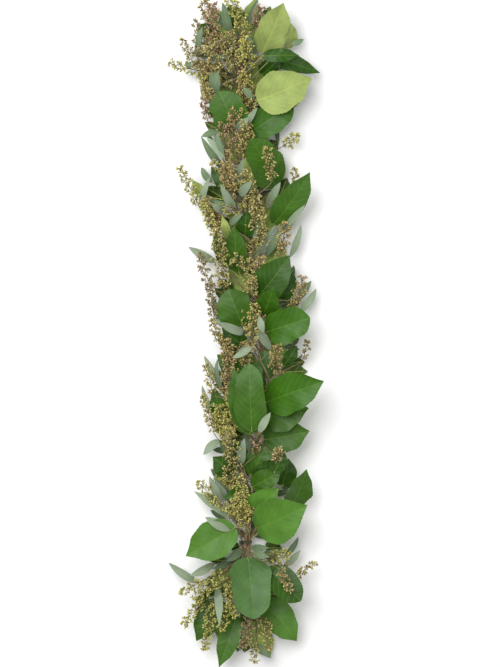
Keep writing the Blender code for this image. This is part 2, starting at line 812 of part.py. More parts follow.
def stem_solid(path):
    """A cut stem, thinner towards its far end."""
    radii = np.full(len(path), STEM_RADIUS)
    radii[3:] = np.linspace(STEM_RADIUS * STEM_TAPER, STEM_END_RADIUS, len(path) - 3)
    return tube(path, radii, 4)


def twig_starts(bunch, stem, pose):
    """Places along the stem that a twig may start from, the likeliest first, with the stem's heading."""
    stretches = [np.linspace(a, b, STEM_SPOTS, endpoint=False) for a, b in zip(stem[1:], stem[2:])]
    dense = np.concatenate(stretches)
    along = bunch.points * (pose.at[1] - dense[:, 1])
    aside = np.abs(pose.at[0] - dense[:, 0])
    wanted = np.maximum(LEAST_TWIG_RUN, TWIG_RUN_SHARE * aside)
    run = np.hypot(along, aside)
    climb = np.maximum(0.0, np.abs(pose.at[2] - dense[:, 2]) - EASY_CLIMB * run)
    cost = np.abs(along - wanted) + RUN_COST * run + climb
    order = np.argsort(cost)
    last = len(dense) - 1
    return [(dense[k], unit(dense[min(k + 1, last)] - dense[max(k - 1, 0)])) for k in order]


def twig_path(start, heading, pose, under, sway, highest):
    """A thin curve from inside the stem to the base of a leaf or spray."""
    gap = np.linalg.norm(pose.at - start)
    count = 1 if gap < LONG_TWIG else 2
    curve = curve_between(start, heading, pose.at, pose.heading, count)
    across = unit(np.cross(pose.at - start, (0.0, 0.0, 1.0)))
    curve[1:-1] += sway * across
    fixed = [True] + [False] * (count - 1) + [True]
    return lifted(curve, fixed, under, TWIG_RADIUS, highest)


def joined_to_stem(bunch, stem, pose, under, blocked, make, highest=OPEN_HEIGHT):
    """The leaf or spray with the first twig that takes it to the stem clear of all the others."""
    for lift in POSE_LIFTS:
        raised = pose._replace(at=pose.at + np.array([0.0, 0.0, lift]))
        for start, heading in twig_starts(bunch, stem, raised)[:TWIG_TRIES]:
            for sway in TWIG_SWAYS:
                path = twig_path(start, heading, raised, under, sway, highest)
                solid = make(raised, path)
                if blocked.clears(solid):
                    return solid
                if len(path) == 2:
                    break
    return None


def leaf_on_twig(form, pose, twig):
    """The blade and its petiole as one ribbon, rooted inside the stem."""
    rows = [pose.place(row) for row in blade_rows(form)]
    up = pose.spin[:, 2]
    ups = [up] * len(rows)
    halves = [BLADE_THICKNESS / 2] * len(rows)
    if form.creased:
        halves[0] = TWIG_HALF
    for k in range(len(twig) - 2, -1, -1):
        along = unit(twig[k + 1] - twig[max(k - 1, 0)])
        side = unit(np.cross((0.0, 0.0, 1.0), along))
        rows.insert(0, np.array([twig[k] + side * TWIG_HALF, twig[k] - side * TWIG_HALF]))
        ups.insert(0, np.cross(along, side))
        halves.insert(0, TWIG_HALF)
    return ribbon(rows, ups, halves)


def leaf_form(leaf, lance, dice, fine=True):
    """The form of a leaf of the plan: a narrow eucalyptus leaf, or a broad lemon leaf with a crease."""
    length = PLAN_STEP * math.dist(leaf.base, leaf.tip)
    width = PLAN_STEP * leaf.width
    bend = dice.uniform(-0.22, 0.22)
    phase = dice.uniform(0, 1)
    if lance:
        return Form(length, width, arch=0.06, droop=0.05, cup=0.10, bend=bend, wave_height=0.8, waves=1.0,
                    phase=phase, half_width=lance_half_width, stations=LANCE_STATIONS, neck=1.0,
                    creased=False)
    stations = BROAD_STATIONS if fine and leaf.width > BROAD_LEAF else PLAIN_STATIONS
    return Form(length, width, arch=0.07, droop=0.05, cup=0.16, bend=0.3 * bend, wave_height=1.6,
                waves=1.6, phase=phase, half_width=lemon_half_width, stations=stations, neck=1.3,
                creased=True)


def blade_solid(form):
    """A leaf blade without its stalk, lying along x."""
    rows = blade_rows(form)
    return ribbon(rows, [np.array([0.0, 0.0, 1.0])] * len(rows), [BLADE_THICKNESS / 2] * len(rows))


def spray_form(spray, dice):
    """The solid of a panicle of the plan, lying along x."""
    length = PLAN_STEP * math.dist(spray.base, spray.tip)
    clusters = 1 if length < SHORT_SPRAY or spray.width < NARROW_SPRAY else 2
    return spray_points(length, PLAN_STEP * spray.width, dice.uniform(-0.15, 0.15), clusters)


def bunch_of(base):
    """The bunch that a leaf or spray grows from: the nearest bind well behind its base."""
    row = base[1]
    if row < TIE_ROW:
        fits = [bunch for bunch in BUNCHES if bunch.points > 0 and bunch.row >= row + ROOM_AT_BIND]
        return min(fits, key=lambda bunch: bunch.row)
    fits = [bunch for bunch in BUNCHES if bunch.points < 0 and bunch.row <= row - ROOM_AT_BIND]
    return max(fits, key=lambda bunch: bunch.row)


KINDS = {"lemon": LEMON_LEAVES, "eucalyptus": LANCE_LEAVES, "seeds": SEED_SPRAYS}


def front_nodes(front, core):
    """Each bunch's stems with their leaves and seeds, laid one over the other from the core out."""
    dice = np.random.default_rng(SEED)
    nodes, laid = {}, list(core)
    for number, bunch in enumerate(BUNCHES, 1):
        groups = {}
        for kind, table in KINDS.items():
            items = [item for item in table if bunch_of(item.base) is bunch]
            if items:
                groups[kind] = items
        reach = {kind: max(items, key=lambda item: -bunch.points * item.base[1]).base[0]
                 for kind, items in groups.items()}
        slots = dict(zip(sorted(reach, key=reach.get), FRONT_SLOTS))
        order = [kind for kind in ("lemon", "eucalyptus", "seeds") if kind in groups]
        if bunch.top_last == "lemon" and "lemon" in groups:
            order.remove("lemon")
            order.append("lemon")
        for kind in order:
            checked = front.copy()
            others = [tube(departure(bunch, slot), STEM_RADIUS, 4)
                      for other, slot in slots.items() if other != kind]
            others += [tube(departure(later, slot), STEM_RADIUS, 4)
                       for later in BUNCHES[number:] for slot in FRONT_SLOTS]
            for solid in others:
                checked.add_solid(solid)
            blocked = Blocked(laid + others)
            solids = grown(bunch, slots[kind], kind, groups[kind], checked, blocked, dice)
            laid += solids
            for solid in solids:
                front.add_solid(solid)
            nodes[f"{kind}_{number:02d}"] = (kind, solids)
    return nodes


def grown(bunch, slot, kind, items, checked, blocked, dice):
    """One node: a stem and what it carries, laid over what has been laid already."""
    bases = [plan_point(*item.base) for item in items]
    for_stems = checked.widened(2)
    stem = main_stem(bunch, slot, bases, for_stems, blocked)
    solids = [stem_solid(stem)]
    under = checked.widened()
    own = Heights(-50.0)
    own.add_solid(solids[0])
    for item, base in zip(items, bases):
        tip = plan_point(*item.tip)
        if kind == "seeds":
            shape = spray_form(item, dice)
            make = partial(seeds_on_twig, shape)
        else:
            form = leaf_form(item, kind == "eucalyptus", dice)
            shape = blade_solid(form)
            make = partial(leaf_on_twig, form)
        pose = settle(shape, base, tip, under, own.top)
        solid = joined_to_stem(bunch, stem, pose, for_stems, blocked, make)
        if solid is not None:
            solids.append(solid)
            own.add_solid(solid)
    return solids


class BackRow(NamedTuple):
    """How the leaves of a stem behind the core are spaced: their count, first place, step and size."""

    count: int
    first: float
    step: float
    lengths: tuple
    widths: tuple


BACK_LANCES = BackRow(3, 30.0, 26.0, (50.0, 50.0), (14.0, 14.0))
BACK_LEAVES = BackRow(2, 34.0, 34.0, (68.0, 84.0), (42.0, 52.0))
BACK_END_LEAVES = BackRow(2, 12.0, 8.0, (68.0, 78.0), (42.0, 50.0))


def back_leaves(number, bunch, dice):
    """The leaves of one stem behind the core, each with the two points it lies between."""
    row = BACK_LEAVES
    if is_lance_back(number):
        row = BACK_LANCES
    elif number == 1:
        row = BACK_END_LEAVES
    leaves = []
    for k in range(row.count):
        length, width = dice.uniform(*row.lengths), dice.uniform(*row.widths)
        spread = dice.uniform(-BACK_LEAN_SPREAD, BACK_LEAN_SPREAD)
        lean = math.radians(90 - BACK_LEAN * BACK_OFFSETS[k] + spread)
        base = hub_of(bunch) + np.array([BACK_OFFSETS[k] * BACK_SIDE_SHARE,
                                         bunch.points * (row.first + row.step * k)])
        tip = base + length * np.array([math.cos(lean), bunch.points * math.sin(lean)])
        leaves.append((base, tip, Leaf(tuple(base / PLAN_STEP), tuple(tip / PLAN_STEP),
                                       width / PLAN_STEP, "back")))
    return leaves


def is_lance_back(number):
    """Every third stem behind the core is eucalyptus."""
    return number % 3 == 2


def back_nodes(back, core):
    """The stems behind the core, whose leaves the garland lies on."""
    dice = np.random.default_rng(SEED + 1)
    nodes, laid = {}, [turned_over(solid) for solid in core]
    for number, bunch in enumerate(BUNCHES, 1):
        lance = is_lance_back(number)
        leaves = back_leaves(number, bunch, dice)
        under, for_stems = back.widened(), back.widened(2)
        blocked = Blocked(laid)
        bases = [base for base, _, _ in leaves]
        stem = main_stem(bunch, BACK_SLOT, bases, for_stems, blocked, CORE_HEIGHT)
        solids = [stem_solid(stem)]
        own = Heights(-50.0)
        own.add_solid(solids[0])
        for base, tip, leaf in leaves:
            form = leaf_form(leaf, lance, dice, fine=False)
            pose = settle(blade_solid(form), base, tip, under, own.top, highest=CORE_HEIGHT)
            make = partial(leaf_behind, form)
            solid = joined_to_stem(bunch, stem, pose, for_stems, blocked, make, CORE_HEIGHT)
            if solid is not None and pose.at[2] <= CORE_HEIGHT - BACK_ROOM:
                solids.append(solid)
                own.add_solid(solid)
        laid += solids
        for solid in solids:
            back.add_solid(solid)
        kind = "eucalyptus" if lance else "lemon"
        nodes[f"{kind}_back_{number:02d}"] = (kind, solids)
    return nodes


def leaf_behind(form, pose, twig):
    """A leaf behind the core, pressed flat by the surface it lies on."""
    return pressed(leaf_on_twig(form, pose, twig))


def pressed(solid):
    """The leaf bent flat where it would reach below the surface that the garland lies on."""
    points, faces = solid[0].copy(), solid[1]
    half = len(points) // 2
    upper, lower = points[:half, 2], points[half:, 2]
    thickness = (upper - lower) / 2
    middle = np.minimum((upper + lower) / 2, CORE_HEIGHT - np.abs(thickness))
    points[:half, 2] = middle + thickness
    points[half:, 2] = middle - thickness
    return points, faces


def turned_over(solid):
    """The solid mirrored from one side of the core to the other."""
    points, faces = solid
    return facing_out(points * np.array([1.0, 1.0, -1.0]), faces)


# A plain colour and roughness for each kind of node.
COLOURS = {
    "lemon": ((0.060, 0.150, 0.035), 0.35),
    "eucalyptus": ((0.230, 0.300, 0.220), 0.55),
    "seeds": ((0.330, 0.290, 0.110), 0.70),
    "twine": ((0.360, 0.270, 0.160), 0.90),
    "wire": ((0.120, 0.160, 0.100), 0.40),
}


def material(name):
    colour, roughness = COLOURS[name]
    made = bpy.data.materials.get(name) or bpy.data.materials.new(name)
    made.use_nodes = True
    shader = made.node_tree.nodes["Principled BSDF"]
    shader.inputs["Base Color"].default_value = (*colour, 1.0)
    shader.inputs["Roughness"].default_value = roughness
    shader.inputs["Metallic"].default_value = 0.6 if name == "wire" else 0.0
    made.diffuse_color = (*colour, 1.0)
    return made


def mesh_object(name, solid, collection=None):
    """The solid as an object of the model, in metres."""
    points, faces = solid
    mesh = bpy.data.meshes.new(name)
    mesh.from_pydata((points / 1000).tolist(), [], faces.tolist())
    mesh.validate()
    made = bpy.data.objects.new(name, mesh)
    (collection or bpy.context.scene.collection).objects.link(made)
    return made


def islands(points, faces):
    """The faces of each separate closed surface of a mesh."""
    parent = list(range(len(points)))

    def root(i):
        while parent[i] != i:
            parent[i] = parent[parent[i]]
            i = parent[i]
        return i

    for a, b, c in faces:
        parent[root(a)] = root(b)
        parent[root(b)] = root(c)
    groups = {}
    for face in faces:
        groups.setdefault(root(face[0]), []).append(face)
    return [np.array(group) for group in groups.values()]


def fused(name, solids):
    """One closed body of all these solids: hollows sealed by fusing are filled, scraps dropped."""
    body = mesh_object(name, solids[0])
    parts = bpy.data.collections.new(name + "_parts")
    bpy.context.scene.collection.children.link(parts)
    for k, solid in enumerate(solids[1:]):
        mesh_object(f"{name}_part_{k}", solid, parts)
    union = body.modifiers.new("union", "BOOLEAN")
    union.operation = "UNION"
    union.operand_type = "COLLECTION"
    union.collection = parts
    # Many thin leaves cross at slight angles: this solver joins them in seconds and leaves them closed.
    union.solver = "MANIFOLD"
    bpy.context.view_layer.update()
    graph = bpy.context.evaluated_depsgraph_get()
    joined = bpy.data.meshes.new_from_object(body.evaluated_get(graph))
    body.modifiers.clear()
    joined.calc_loop_triangles()
    points = np.array([v.co for v in joined.vertices])
    faces = np.array([t.vertices for t in joined.loop_triangles])
    groups = islands(points, faces)
    volumes = [np.linalg.det(points[group]).sum() for group in groups]
    kept = groups[int(np.argmax(volumes))]
    used, index = np.unique(kept, return_inverse=True)
    mesh = bpy.data.meshes.new(name)
    mesh.from_pydata([tuple(p) for p in points[used]], [], index.reshape(-1, 3).tolist())
    body.data = mesh
    mesh.name = name
    for helper in list(parts.objects):
        bpy.data.objects.remove(helper)
    bpy.data.collections.remove(parts)
    return body


def twine_solid():
    """The twine that the whole garland is bound along."""
    return tube([(x, y, 0.0) for x, y in TWINE_LINE], TWINE_RADIUS, 6)


def wire_seat(bunch):
    """How far from the middle of the twine the wire runs round a bunch's stems."""
    return bunch.seat + STEM_RADIUS + WIRE_GAP


def wire_solid():
    """One wire: a turn round the core at each bind, and a straight run on to the next."""
    start = math.radians(WIRE_RUN_ANGLE)
    path = []
    for bunch in sorted(BUNCHES, key=lambda bunch: bunch.row):
        if not bunch.own_wire:
            continue
        hub = hub_of(bunch)
        seat = wire_seat(bunch) / math.cos(math.pi / WIRE_TURN_POINTS)
        for k in range(WIRE_TURN_POINTS + 1):
            angle = start + 2 * math.pi * k / WIRE_TURN_POINTS
            y = hub[1] + WIRE_PITCH * (0.5 - k / WIRE_TURN_POINTS)
            path.append((hub[0] + seat * math.cos(angle), y, seat * math.sin(angle)))
    return tube(path, WIRE_RADIUS, 3, carried_frames)


def clear_scene():
    for thing in list(bpy.data.objects):
        bpy.data.objects.remove(thing)


def main():
    clear_scene()
    front, back = Heights(), Heights()
    reach = STEM_SEAT + STEM_RADIUS + WIRE_GAP + WIRE_RADIUS + WIRE_ROOM
    for heights in (front, back):
        for x, y in smooth_route([plan_point(*point) for point in TWINE_ROUTE], CELL):
            heights.add(np.array([(x + dx, y, reach) for dx in np.arange(-reach, reach + 1, 1.0)]))
    core = [twine_solid(), wire_solid()]
    nodes = front_nodes(front, core)
    for name, (look, solids) in back_nodes(back, core).items():
        nodes[name] = (look, [turned_over(solid) for solid in solids])
    nodes["core_twine"] = ("twine", core[:1])
    nodes["binding_wire"] = ("wire", core[1:])
    every = np.concatenate([points for _, solids in nodes.values() for points, _ in solids])
    low, high = every.min(axis=0), every.max(axis=0)
    shift = -np.array([(low[0] + high[0]) / 2, (low[1] + high[1]) / 2, low[2]])
    for name, (look, solids) in nodes.items():
        moved = [(points + shift, faces) for points, faces in solids]
        body = fused(name, moved) if len(moved) > 1 else mesh_object(name, moved[0])
        body.data.materials.append(material(look))


main()
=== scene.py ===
"""The looks of a lemon leaf and eucalyptus garland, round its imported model.

The garland is laid out by the same rules as the model, in millimetres, and each plain solid is then
replaced by a fine one: leaves with veins and toothed edges, panicles of small buds on branchlets,
barked stems, a twisted twine and a wound wire. +Y runs along the garland and +Z up.
"""

import math
from functools import cache, partial
from typing import NamedTuple

import bpy
import numpy as np
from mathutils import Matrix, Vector
from mathutils.bvhtree import BVHTree


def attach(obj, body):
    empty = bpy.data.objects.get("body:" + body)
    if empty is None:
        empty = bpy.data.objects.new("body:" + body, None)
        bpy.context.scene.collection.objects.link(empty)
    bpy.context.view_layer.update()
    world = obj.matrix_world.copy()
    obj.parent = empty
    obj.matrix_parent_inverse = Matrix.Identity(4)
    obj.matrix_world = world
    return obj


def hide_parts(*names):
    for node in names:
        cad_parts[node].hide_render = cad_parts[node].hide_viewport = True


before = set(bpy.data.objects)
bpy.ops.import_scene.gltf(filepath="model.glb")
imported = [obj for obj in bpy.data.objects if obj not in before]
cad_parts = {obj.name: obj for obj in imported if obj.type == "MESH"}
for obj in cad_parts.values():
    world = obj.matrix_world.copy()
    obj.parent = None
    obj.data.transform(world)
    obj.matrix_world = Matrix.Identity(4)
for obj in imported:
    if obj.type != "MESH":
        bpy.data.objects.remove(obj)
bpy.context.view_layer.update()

# The plan: the length of one of its steps, the column and row that the part is laid out round, and
# how many rows the camera shows.
PLAN_STEP = 1.8
PLAN_CENTRE = (250.0, 333.5)
PHOTO_ROWS = 667
SEED = 41

# The core: a twine, and a wire wound round it and round the stems at each bind.
CORE_HEIGHT = 24.0
TWINE_RADIUS = 3.0
TWINE_SPACING = 45.0
TWINE_ROUTE = [(240, 34), (242, 80), (245, 150), (250, 220), (257, 290), (262, 360), (261, 420),
               (255, 480), (246, 536), (243, 575), (243, 600)]
WIRE_RADIUS = 0.5
WIRE_GAP = 0.8
WIRE_ROOM = 0.5
WIRE_RUN_ANGLE = -35.0
WIRE_TURN_POINTS = 6
WIRE_PITCH = 2.5

# The cut stems: how thick they are, how far from the twine's middle they sit, their tails past the
# bind, where each kind leaves the core, and how far they may bend to stay clear of one another.
STEM_RADIUS = 1.8
STEM_SEAT = 5.1
TAIL_LENGTH = 55.0
SHORT_TAIL = 20.0
BEND_TAIL = 34.0
TIE_TAIL = 9.0
TIE_SEAT = 9.0
TIE_TURN = -27.5
TIE_ROW = 540
ROOM_AT_BIND = 12.0
BIND_LENGTH = 5.0
DEPARTURE_LENGTH = 26.0
DEPARTURE_SPREAD = 10.0
FRONT_SLOTS = (145.0, 90.0, 35.0)
BACK_SLOT = -90.0
STEM_SWAYS = (0.0, 9.0, -9.0, 18.0, -18.0, 27.0, -27.0)
STEM_LIFTS = (0.0, 3.0, 7.0, 12.0, 18.0)
STEM_SHARES = (1.0, 0.75, 0.5, 0.3, 0.0)
SHORTEST_STEM = 24.0
STEM_END_ROOM = 9.0
STEM_STRETCH = 42.0
STEM_RISE = 0.12
STEM_END_RISE = 0.1
STUB_LENGTH = 8.0
STUB_SWAY = 0.3
STEM_TAPER = 0.95
STEM_END_RADIUS = 1.3

# The twigs from a stem to its leaves and panicles.
TWIG_RADIUS = 1.1
TWIG_HALF = 0.9
TWIG_TRIES = 26
TWIG_SWAYS = (0.0, 6.0, -6.0, 12.0, -12.0)
STEM_SPOTS = 8
LEAST_TWIG_RUN = 8.0
TWIG_RUN_SHARE = 0.9
EASY_CLIMB = 0.9
RUN_COST = 0.02
CURVE_REACH = 0.38
LONG_TWIG = 26.0
POSE_LIFTS = (0.0, 3.0, 7.0, 12.0, 18.0)

# The blades: their thickness, and the shares of their length at which their rows of points lie.
BLADE_THICKNESS = 0.8
LANCE_STATIONS = (0.3, 0.68)
BROAD_STATIONS = (0.12, 0.36, 0.64, 0.87)
PLAIN_STATIONS = (0.14, 0.45, 0.8)
BROAD_LEAF = 28

# The panicles: seeds drawn out from a three-sided axis, in one or two clusters.
SEED_HALF = 2.1
SEED_LENGTH = 3.4
SEED_LEANS = (0.15, 0.95)
LEAST_REACH = 4.5
REACH_ROOM = 2.5
AXIS_RADIUS = 1.0
STALK_RADIUS = 1.2
CLUSTER_BAND = 3.0
FIRST_CLUSTER = 9.0
FIRST_SHARE = 0.2
LAST_CLUSTER = 16.0
SPRAY_FLATNESS = 0.75
SPRAY_BEND = 0.15
SHORT_SPRAY = 52
NARROW_SPRAY = 11

# How leaves and panicles are laid down: the grid of heights and what it starts from, the room that
# is left between them, the slopes they are tried at, and what makes one slope dearer than another.
CLEARANCE = 0.7
CELL = 2.0
LOWEST_COVER = 0.4
EMPTY_HEIGHT = -50.0
PLAN_HALF = (180.0, 660.0)
SPOT_STEP = 1.8
SETTLE_STEP = 2.2
PITCHES = range(-25, 56, 4)
HALF_SPREAD = 60.0
MOST_OUTWARD = 1.3
ROLL_SHARE = 0.5
EASY_PITCH = 14.0
OUTWARD_PITCH = 22.0
MOST_STRETCH = 1.12
BASE_ROOM = 12.0
MOST_CROSSING = 7.0
LEAST_LIFT = 2.0
PITCH_COST = 0.22
HIGH_COST = 0.3
EASY_TOP = 50.0
OPEN_HEIGHT = 200.0
ROOF_ROOM = 3.0
ROOF_COST = 10.0
MOST_SLOPE = 1.3
SLOPE_ROOM = 1.0

# How a path is raised clear: the spots that are tried along each stretch, and when it is done.
ROOF_RADII = 1.1
STRETCH_SPOTS = 14
LIFT_ROUNDS = 40
LIFT_DONE = 0.02
LEAST_SHARE = 0.1
LEAST_RAISE = 0.35

# The leaves behind the core: how far to each side they start, and how much they lean outward.
BACK_OFFSETS = (-26.0, 22.0, -8.0)
BACK_SIDE_SHARE = 0.6
BACK_LEAN = 0.9
BACK_LEAN_SPREAD = 10
BACK_ROOM = 2.0


class Leaf(NamedTuple):
    """A leaf on the plan: where its blade starts and ends, its width in plan steps, and its look."""

    base: tuple
    tip: tuple
    width: float
    look: str


class Spray(NamedTuple):
    """A panicle of seeds on the plan, from its lowest seed to its tip, and its look."""

    base: tuple
    tip: tuple
    width: float
    look: str


class Bunch(NamedTuple):
    """A bunch bound at a plan row. It points up the plan (+1) or down it (-1)."""

    row: float
    points: int = 1
    top_last: str = "seeds"
    tail: float = TAIL_LENGTH
    seat: float = STEM_SEAT
    turn: float = 0.0
    own_wire: bool = True


# In the order they are bound: each bunch lies on those before it.
BUNCHES = [
    Bunch(48),
    Bunch(88),
    Bunch(133),
    Bunch(178),
    Bunch(224),
    Bunch(269),
    Bunch(314),
    Bunch(357, top_last="lemon"),
    Bunch(406, tail=BEND_TAIL),
    Bunch(452, top_last="lemon"),
    Bunch(498),
    Bunch(586, points=-1, turn=TIE_TURN),
    Bunch(542, points=-1, top_last="lemon", tail=SHORT_TAIL, turn=TIE_TURN, own_wire=False),
    Bunch(543, top_last="lemon", tail=TIE_TAIL, seat=TIE_SEAT),
]
# Leaves in the look deep are darkened as painted shade; the light ones are paler, partly their own colour
# and partly painted light.
LEMON_LEAVES = [
    Leaf((262, 52), (284, 4), 34, "pale"),
    Leaf((288, 48), (292, 21), 15, "pale"),
    Leaf((264, 56), (320, 72), 18, "deep"),
    Leaf((262, 74), (281, 57), 20, "deep"),
    Leaf((257, 101), (311, 79), 42, "pale"),
    Leaf((249, 133), (293, 105), 31, "bright"),
    Leaf((237, 131), (219, 91), 36, "green"),
    Leaf((276, 186), (252, 140), 38, "green"),
    Leaf((251, 192), (250, 157), 18, "pale"),
    Leaf((274, 224), (310, 174), 30, "green"),
    Leaf((205, 196), (192, 180), 12, "pale"),
    Leaf((245, 238), (247, 209), 18, "deep"),
    Leaf((239, 272), (234, 227), 24, "green"),
    Leaf((231, 242), (221, 214), 10, "pale"),
    Leaf((258, 297), (289, 256), 34, "deep"),
    Leaf((280, 300), (294, 272), 20, "deep"),
    Leaf((262, 317), (275, 283), 26, "bright"),
    Leaf((243, 326), (228, 290), 37, "green"),
    Leaf((247, 348), (222, 328), 20, "deep"),
    Leaf((266, 332), (309, 318), 36, "bright"),
    Leaf((284, 366), (297, 346), 14, "deep"),
    Leaf((271, 379), (264, 351), 20, "blue"),
    Leaf((250, 394), (249, 361), 33, "green"),
    Leaf((251, 434), (233, 368), 27, "bright"),
    Leaf((266, 402), (322, 381), 40, "bright"),
    Leaf((262, 419), (308, 408), 34, "green"),
    Leaf((264, 440), (309, 431), 33, "green"),
    Leaf((223, 418), (214, 388), 18, "green"),
    Leaf((251, 476), (265, 446), 27, "green"),
    Leaf((254, 481), (281, 461), 22, "deep"),
    Leaf((282, 486), (289, 459), 24, "deep"),
    Leaf((252, 487), (281, 470), 22, "green"),
    Leaf((290, 508), (307, 470), 28, "green"),
    Leaf((251, 512), (279, 487), 26, "light"),
    Leaf((256, 529), (307, 504), 45, "light"),
    Leaf((236, 527), (186, 555), 38, "light"),
    Leaf((248, 557), (254, 616), 42, "blue"),
    Leaf((268, 567), (300, 597), 30, "deep"),
    Leaf((262, 602), (297, 641), 34, "light"),
    Leaf((222, 601), (196, 641), 30, "green"),
    Leaf((238, 612), (219, 667), 22, "green"),
]
LANCE_LEAVES = [
    Leaf((229, 34), (222, 2), 8, "grey"),
    Leaf((226, 26), (213, 9), 7, "grey"),
    Leaf((196, 56), (200, 30), 7, "grey"),
    Leaf((212, 63), (184, 65), 8, "grey"),
    Leaf((246, 24), (258, -2), 8, "grey"),
    Leaf((255, 50), (245, 32), 8, "grey"),
    Leaf((291, 44), (304, 39), 6, "grey"),
    Leaf((214, 104), (200, 85), 8, "silver"),
    Leaf((216, 98), (211, 70), 8, "grey"),
    Leaf((236, 131), (259, 106), 8, "silver"),
    Leaf((220, 131), (201, 136), 7, "grey"),
    Leaf((225, 172), (201, 139), 8, "grey"),
    Leaf((229, 156), (213, 134), 8, "grey"),
    Leaf((234, 186), (247, 147), 8, "silver"),
    Leaf((240, 198), (257, 175), 9, "silver"),
    Leaf((200, 208), (209, 177), 8, "silver"),
    Leaf((212, 182), (201, 167), 8, "grey"),
    Leaf((238, 210), (217, 181), 8, "grey"),
    Leaf((227, 212), (203, 202), 8, "silver"),
    Leaf((229, 225), (244, 213), 7, "grey"),
    Leaf((267, 208), (281, 182), 9, "silver"),
    Leaf((290, 211), (309, 188), 8, "grey"),
    Leaf((283, 233), (306, 205), 8, "silver"),
    Leaf((266, 256), (285, 222), 8, "grey"),
    Leaf((290, 257), (302, 225), 8, "silver"),
    Leaf((217, 262), (188, 247), 9, "silver"),
    Leaf((219, 322), (211, 294), 8, "grey"),
    Leaf((246, 334), (214, 319), 9, "silver"),
    Leaf((271, 350), (253, 325), 9, "silver"),
    Leaf((263, 335), (259, 314), 8, "grey"),
    Leaf((296, 301), (312, 281), 9, "grey"),
    Leaf((299, 312), (317, 289), 9, "silver"),
    Leaf((252, 346), (230, 358), 8, "silver"),
    Leaf((222, 388), (203, 356), 8, "silver"),
    Leaf((216, 418), (201, 386), 8, "silver"),
    Leaf((241, 464), (246, 432), 9, "silver"),
    Leaf((220, 440), (203, 455), 9, "silver"),
    Leaf((260, 436), (271, 420), 8, "silver"),
    Leaf((222, 500), (209, 477), 8, "silver"),
    Leaf((231, 500), (214, 477), 8, "grey"),
    Leaf((233, 520), (194, 492), 9, "silver"),
    Leaf((231, 530), (205, 518), 9, "silver"),
    Leaf((199, 584), (168, 564), 9, "silver"),
    Leaf((215, 564), (190, 576), 9, "silver"),
    Leaf((238, 558), (213, 569), 8, "grey"),
    Leaf((258, 556), (284, 551), 8, "grey"),
    Leaf((284, 567), (301, 551), 8, "silver"),
    Leaf((285, 557), (299, 538), 7, "grey"),
    Leaf((217, 588), (219, 630), 9, "silver"),
    Leaf((231, 598), (242, 622), 9, "silver"),
    Leaf((257, 645), (271, 659), 7, "grey"),
]
SEED_SPRAYS = [
    Spray((206, 24), (204, -4), 13, "olive"),
    Spray((246, 38), (228, -3), 15, "lime"),
    Spray((253, 30), (262, 3), 12, "pink"),
    Spray((214, 58), (212, 3), 18, "pink"),
    Spray((198, 58), (196, 20), 10, "dusky"),
    Spray((192, 60), (181, 38), 9, "olive"),
    Spray((200, 70), (166, 63), 11, "lime"),
    Spray((236, 74), (228, 32), 18, "olive"),
    Spray((250, 72), (243, 38), 17, "lime"),
    Spray((222, 76), (206, 45), 15, "olive"),
    Spray((246, 108), (243, 72), 16, "lime"),
    Spray((208, 121), (203, 97), 11, "pink"),
    Spray((233, 152), (233, 108), 16, "rosy"),
    Spray((226, 166), (221, 122), 12, "rosy"),
    Spray((281, 147), (300, 134), 12, "lime"),
    Spray((230, 202), (227, 150), 17, "gold"),
    Spray((272, 182), (266, 147), 12, "olive"),
    Spray((294, 184), (296, 167), 9, "olive"),
    Spray((200, 208), (180, 167), 11, "lime"),
    Spray((248, 212), (246, 170), 14, "olive"),
    Spray((262, 246), (256, 196), 17, "olive"),
    Spray((280, 258), (286, 221), 14, "gold"),
    Spray((216, 236), (203, 205), 14, "lime"),
    Spray((224, 290), (216, 228), 18, "olive"),
    Spray((213, 292), (200, 252), 12, "dusky"),
    Spray((250, 300), (251, 262), 16, "olive"),
    Spray((215, 322), (209, 282), 11, "dusky"),
    Spray((250, 349), (255, 303), 14, "olive"),
    Spray((291, 312), (303, 275), 14, "gold"),
    Spray((302, 362), (308, 340), 8, "dusky"),
    Spray((230, 390), (226, 338), 17, "gold"),
    Spray((222, 346), (212, 320), 11, "olive"),
    Spray((244, 372), (249, 342), 13, "olive"),
    Spray((278, 378), (276, 343), 14, "gold"),
    Spray((262, 411), (267, 384), 8, "gold"),
    Spray((229, 418), (228, 392), 10, "olive"),
    Spray((222, 441), (219, 404), 16, "lime"),
    Spray((228, 486), (230, 424), 20, "olive"),
    Spray((256, 456), (257, 430), 10, "pink"),
    Spray((231, 512), (197, 480), 13, "lime"),
    Spray((242, 530), (240, 474), 17, "lime"),
    Spray((262, 560), (291, 553), 13, "lime"),
    Spray((280, 562), (292, 591), 13, "gold"),
    Spray((295, 578), (316, 562), 9, "olive"),
    Spray((226, 570), (194, 600), 18, "lime"),
    Spray((205, 580), (177, 593), 11, "lime"),
    Spray((206, 600), (182, 626), 11, "lime"),
    Spray((213, 600), (205, 650), 12, "lime"),
    Spray((231, 600), (221, 630), 12, "lime"),
    Spray((250, 612), (243, 647), 14, "dusky"),
    Spray((262, 614), (269, 650), 13, "olive"),
    Spray((253, 640), (255, 665), 9, "olive"),
]


def plan_point(column, row):
    """A point of the plan in millimetres."""
    return np.array([(column - PLAN_CENTRE[0]) * PLAN_STEP, (PLAN_CENTRE[1] - row) * PLAN_STEP])


def smooth_route(points, spacing):
    """Points of a smooth curve through the given plan points, about this far apart."""
    gaps = [float(np.linalg.norm(end - start)) for start, end in zip(points, points[1:])]
    return smooth_curve(points, [max(1, round(gap / spacing)) for gap in gaps])


def smooth_path(path, steps):
    """Points of a smooth curve through these 3-D points, with this many steps between each two."""
    return smooth_curve(path, [steps] * (len(path) - 1))


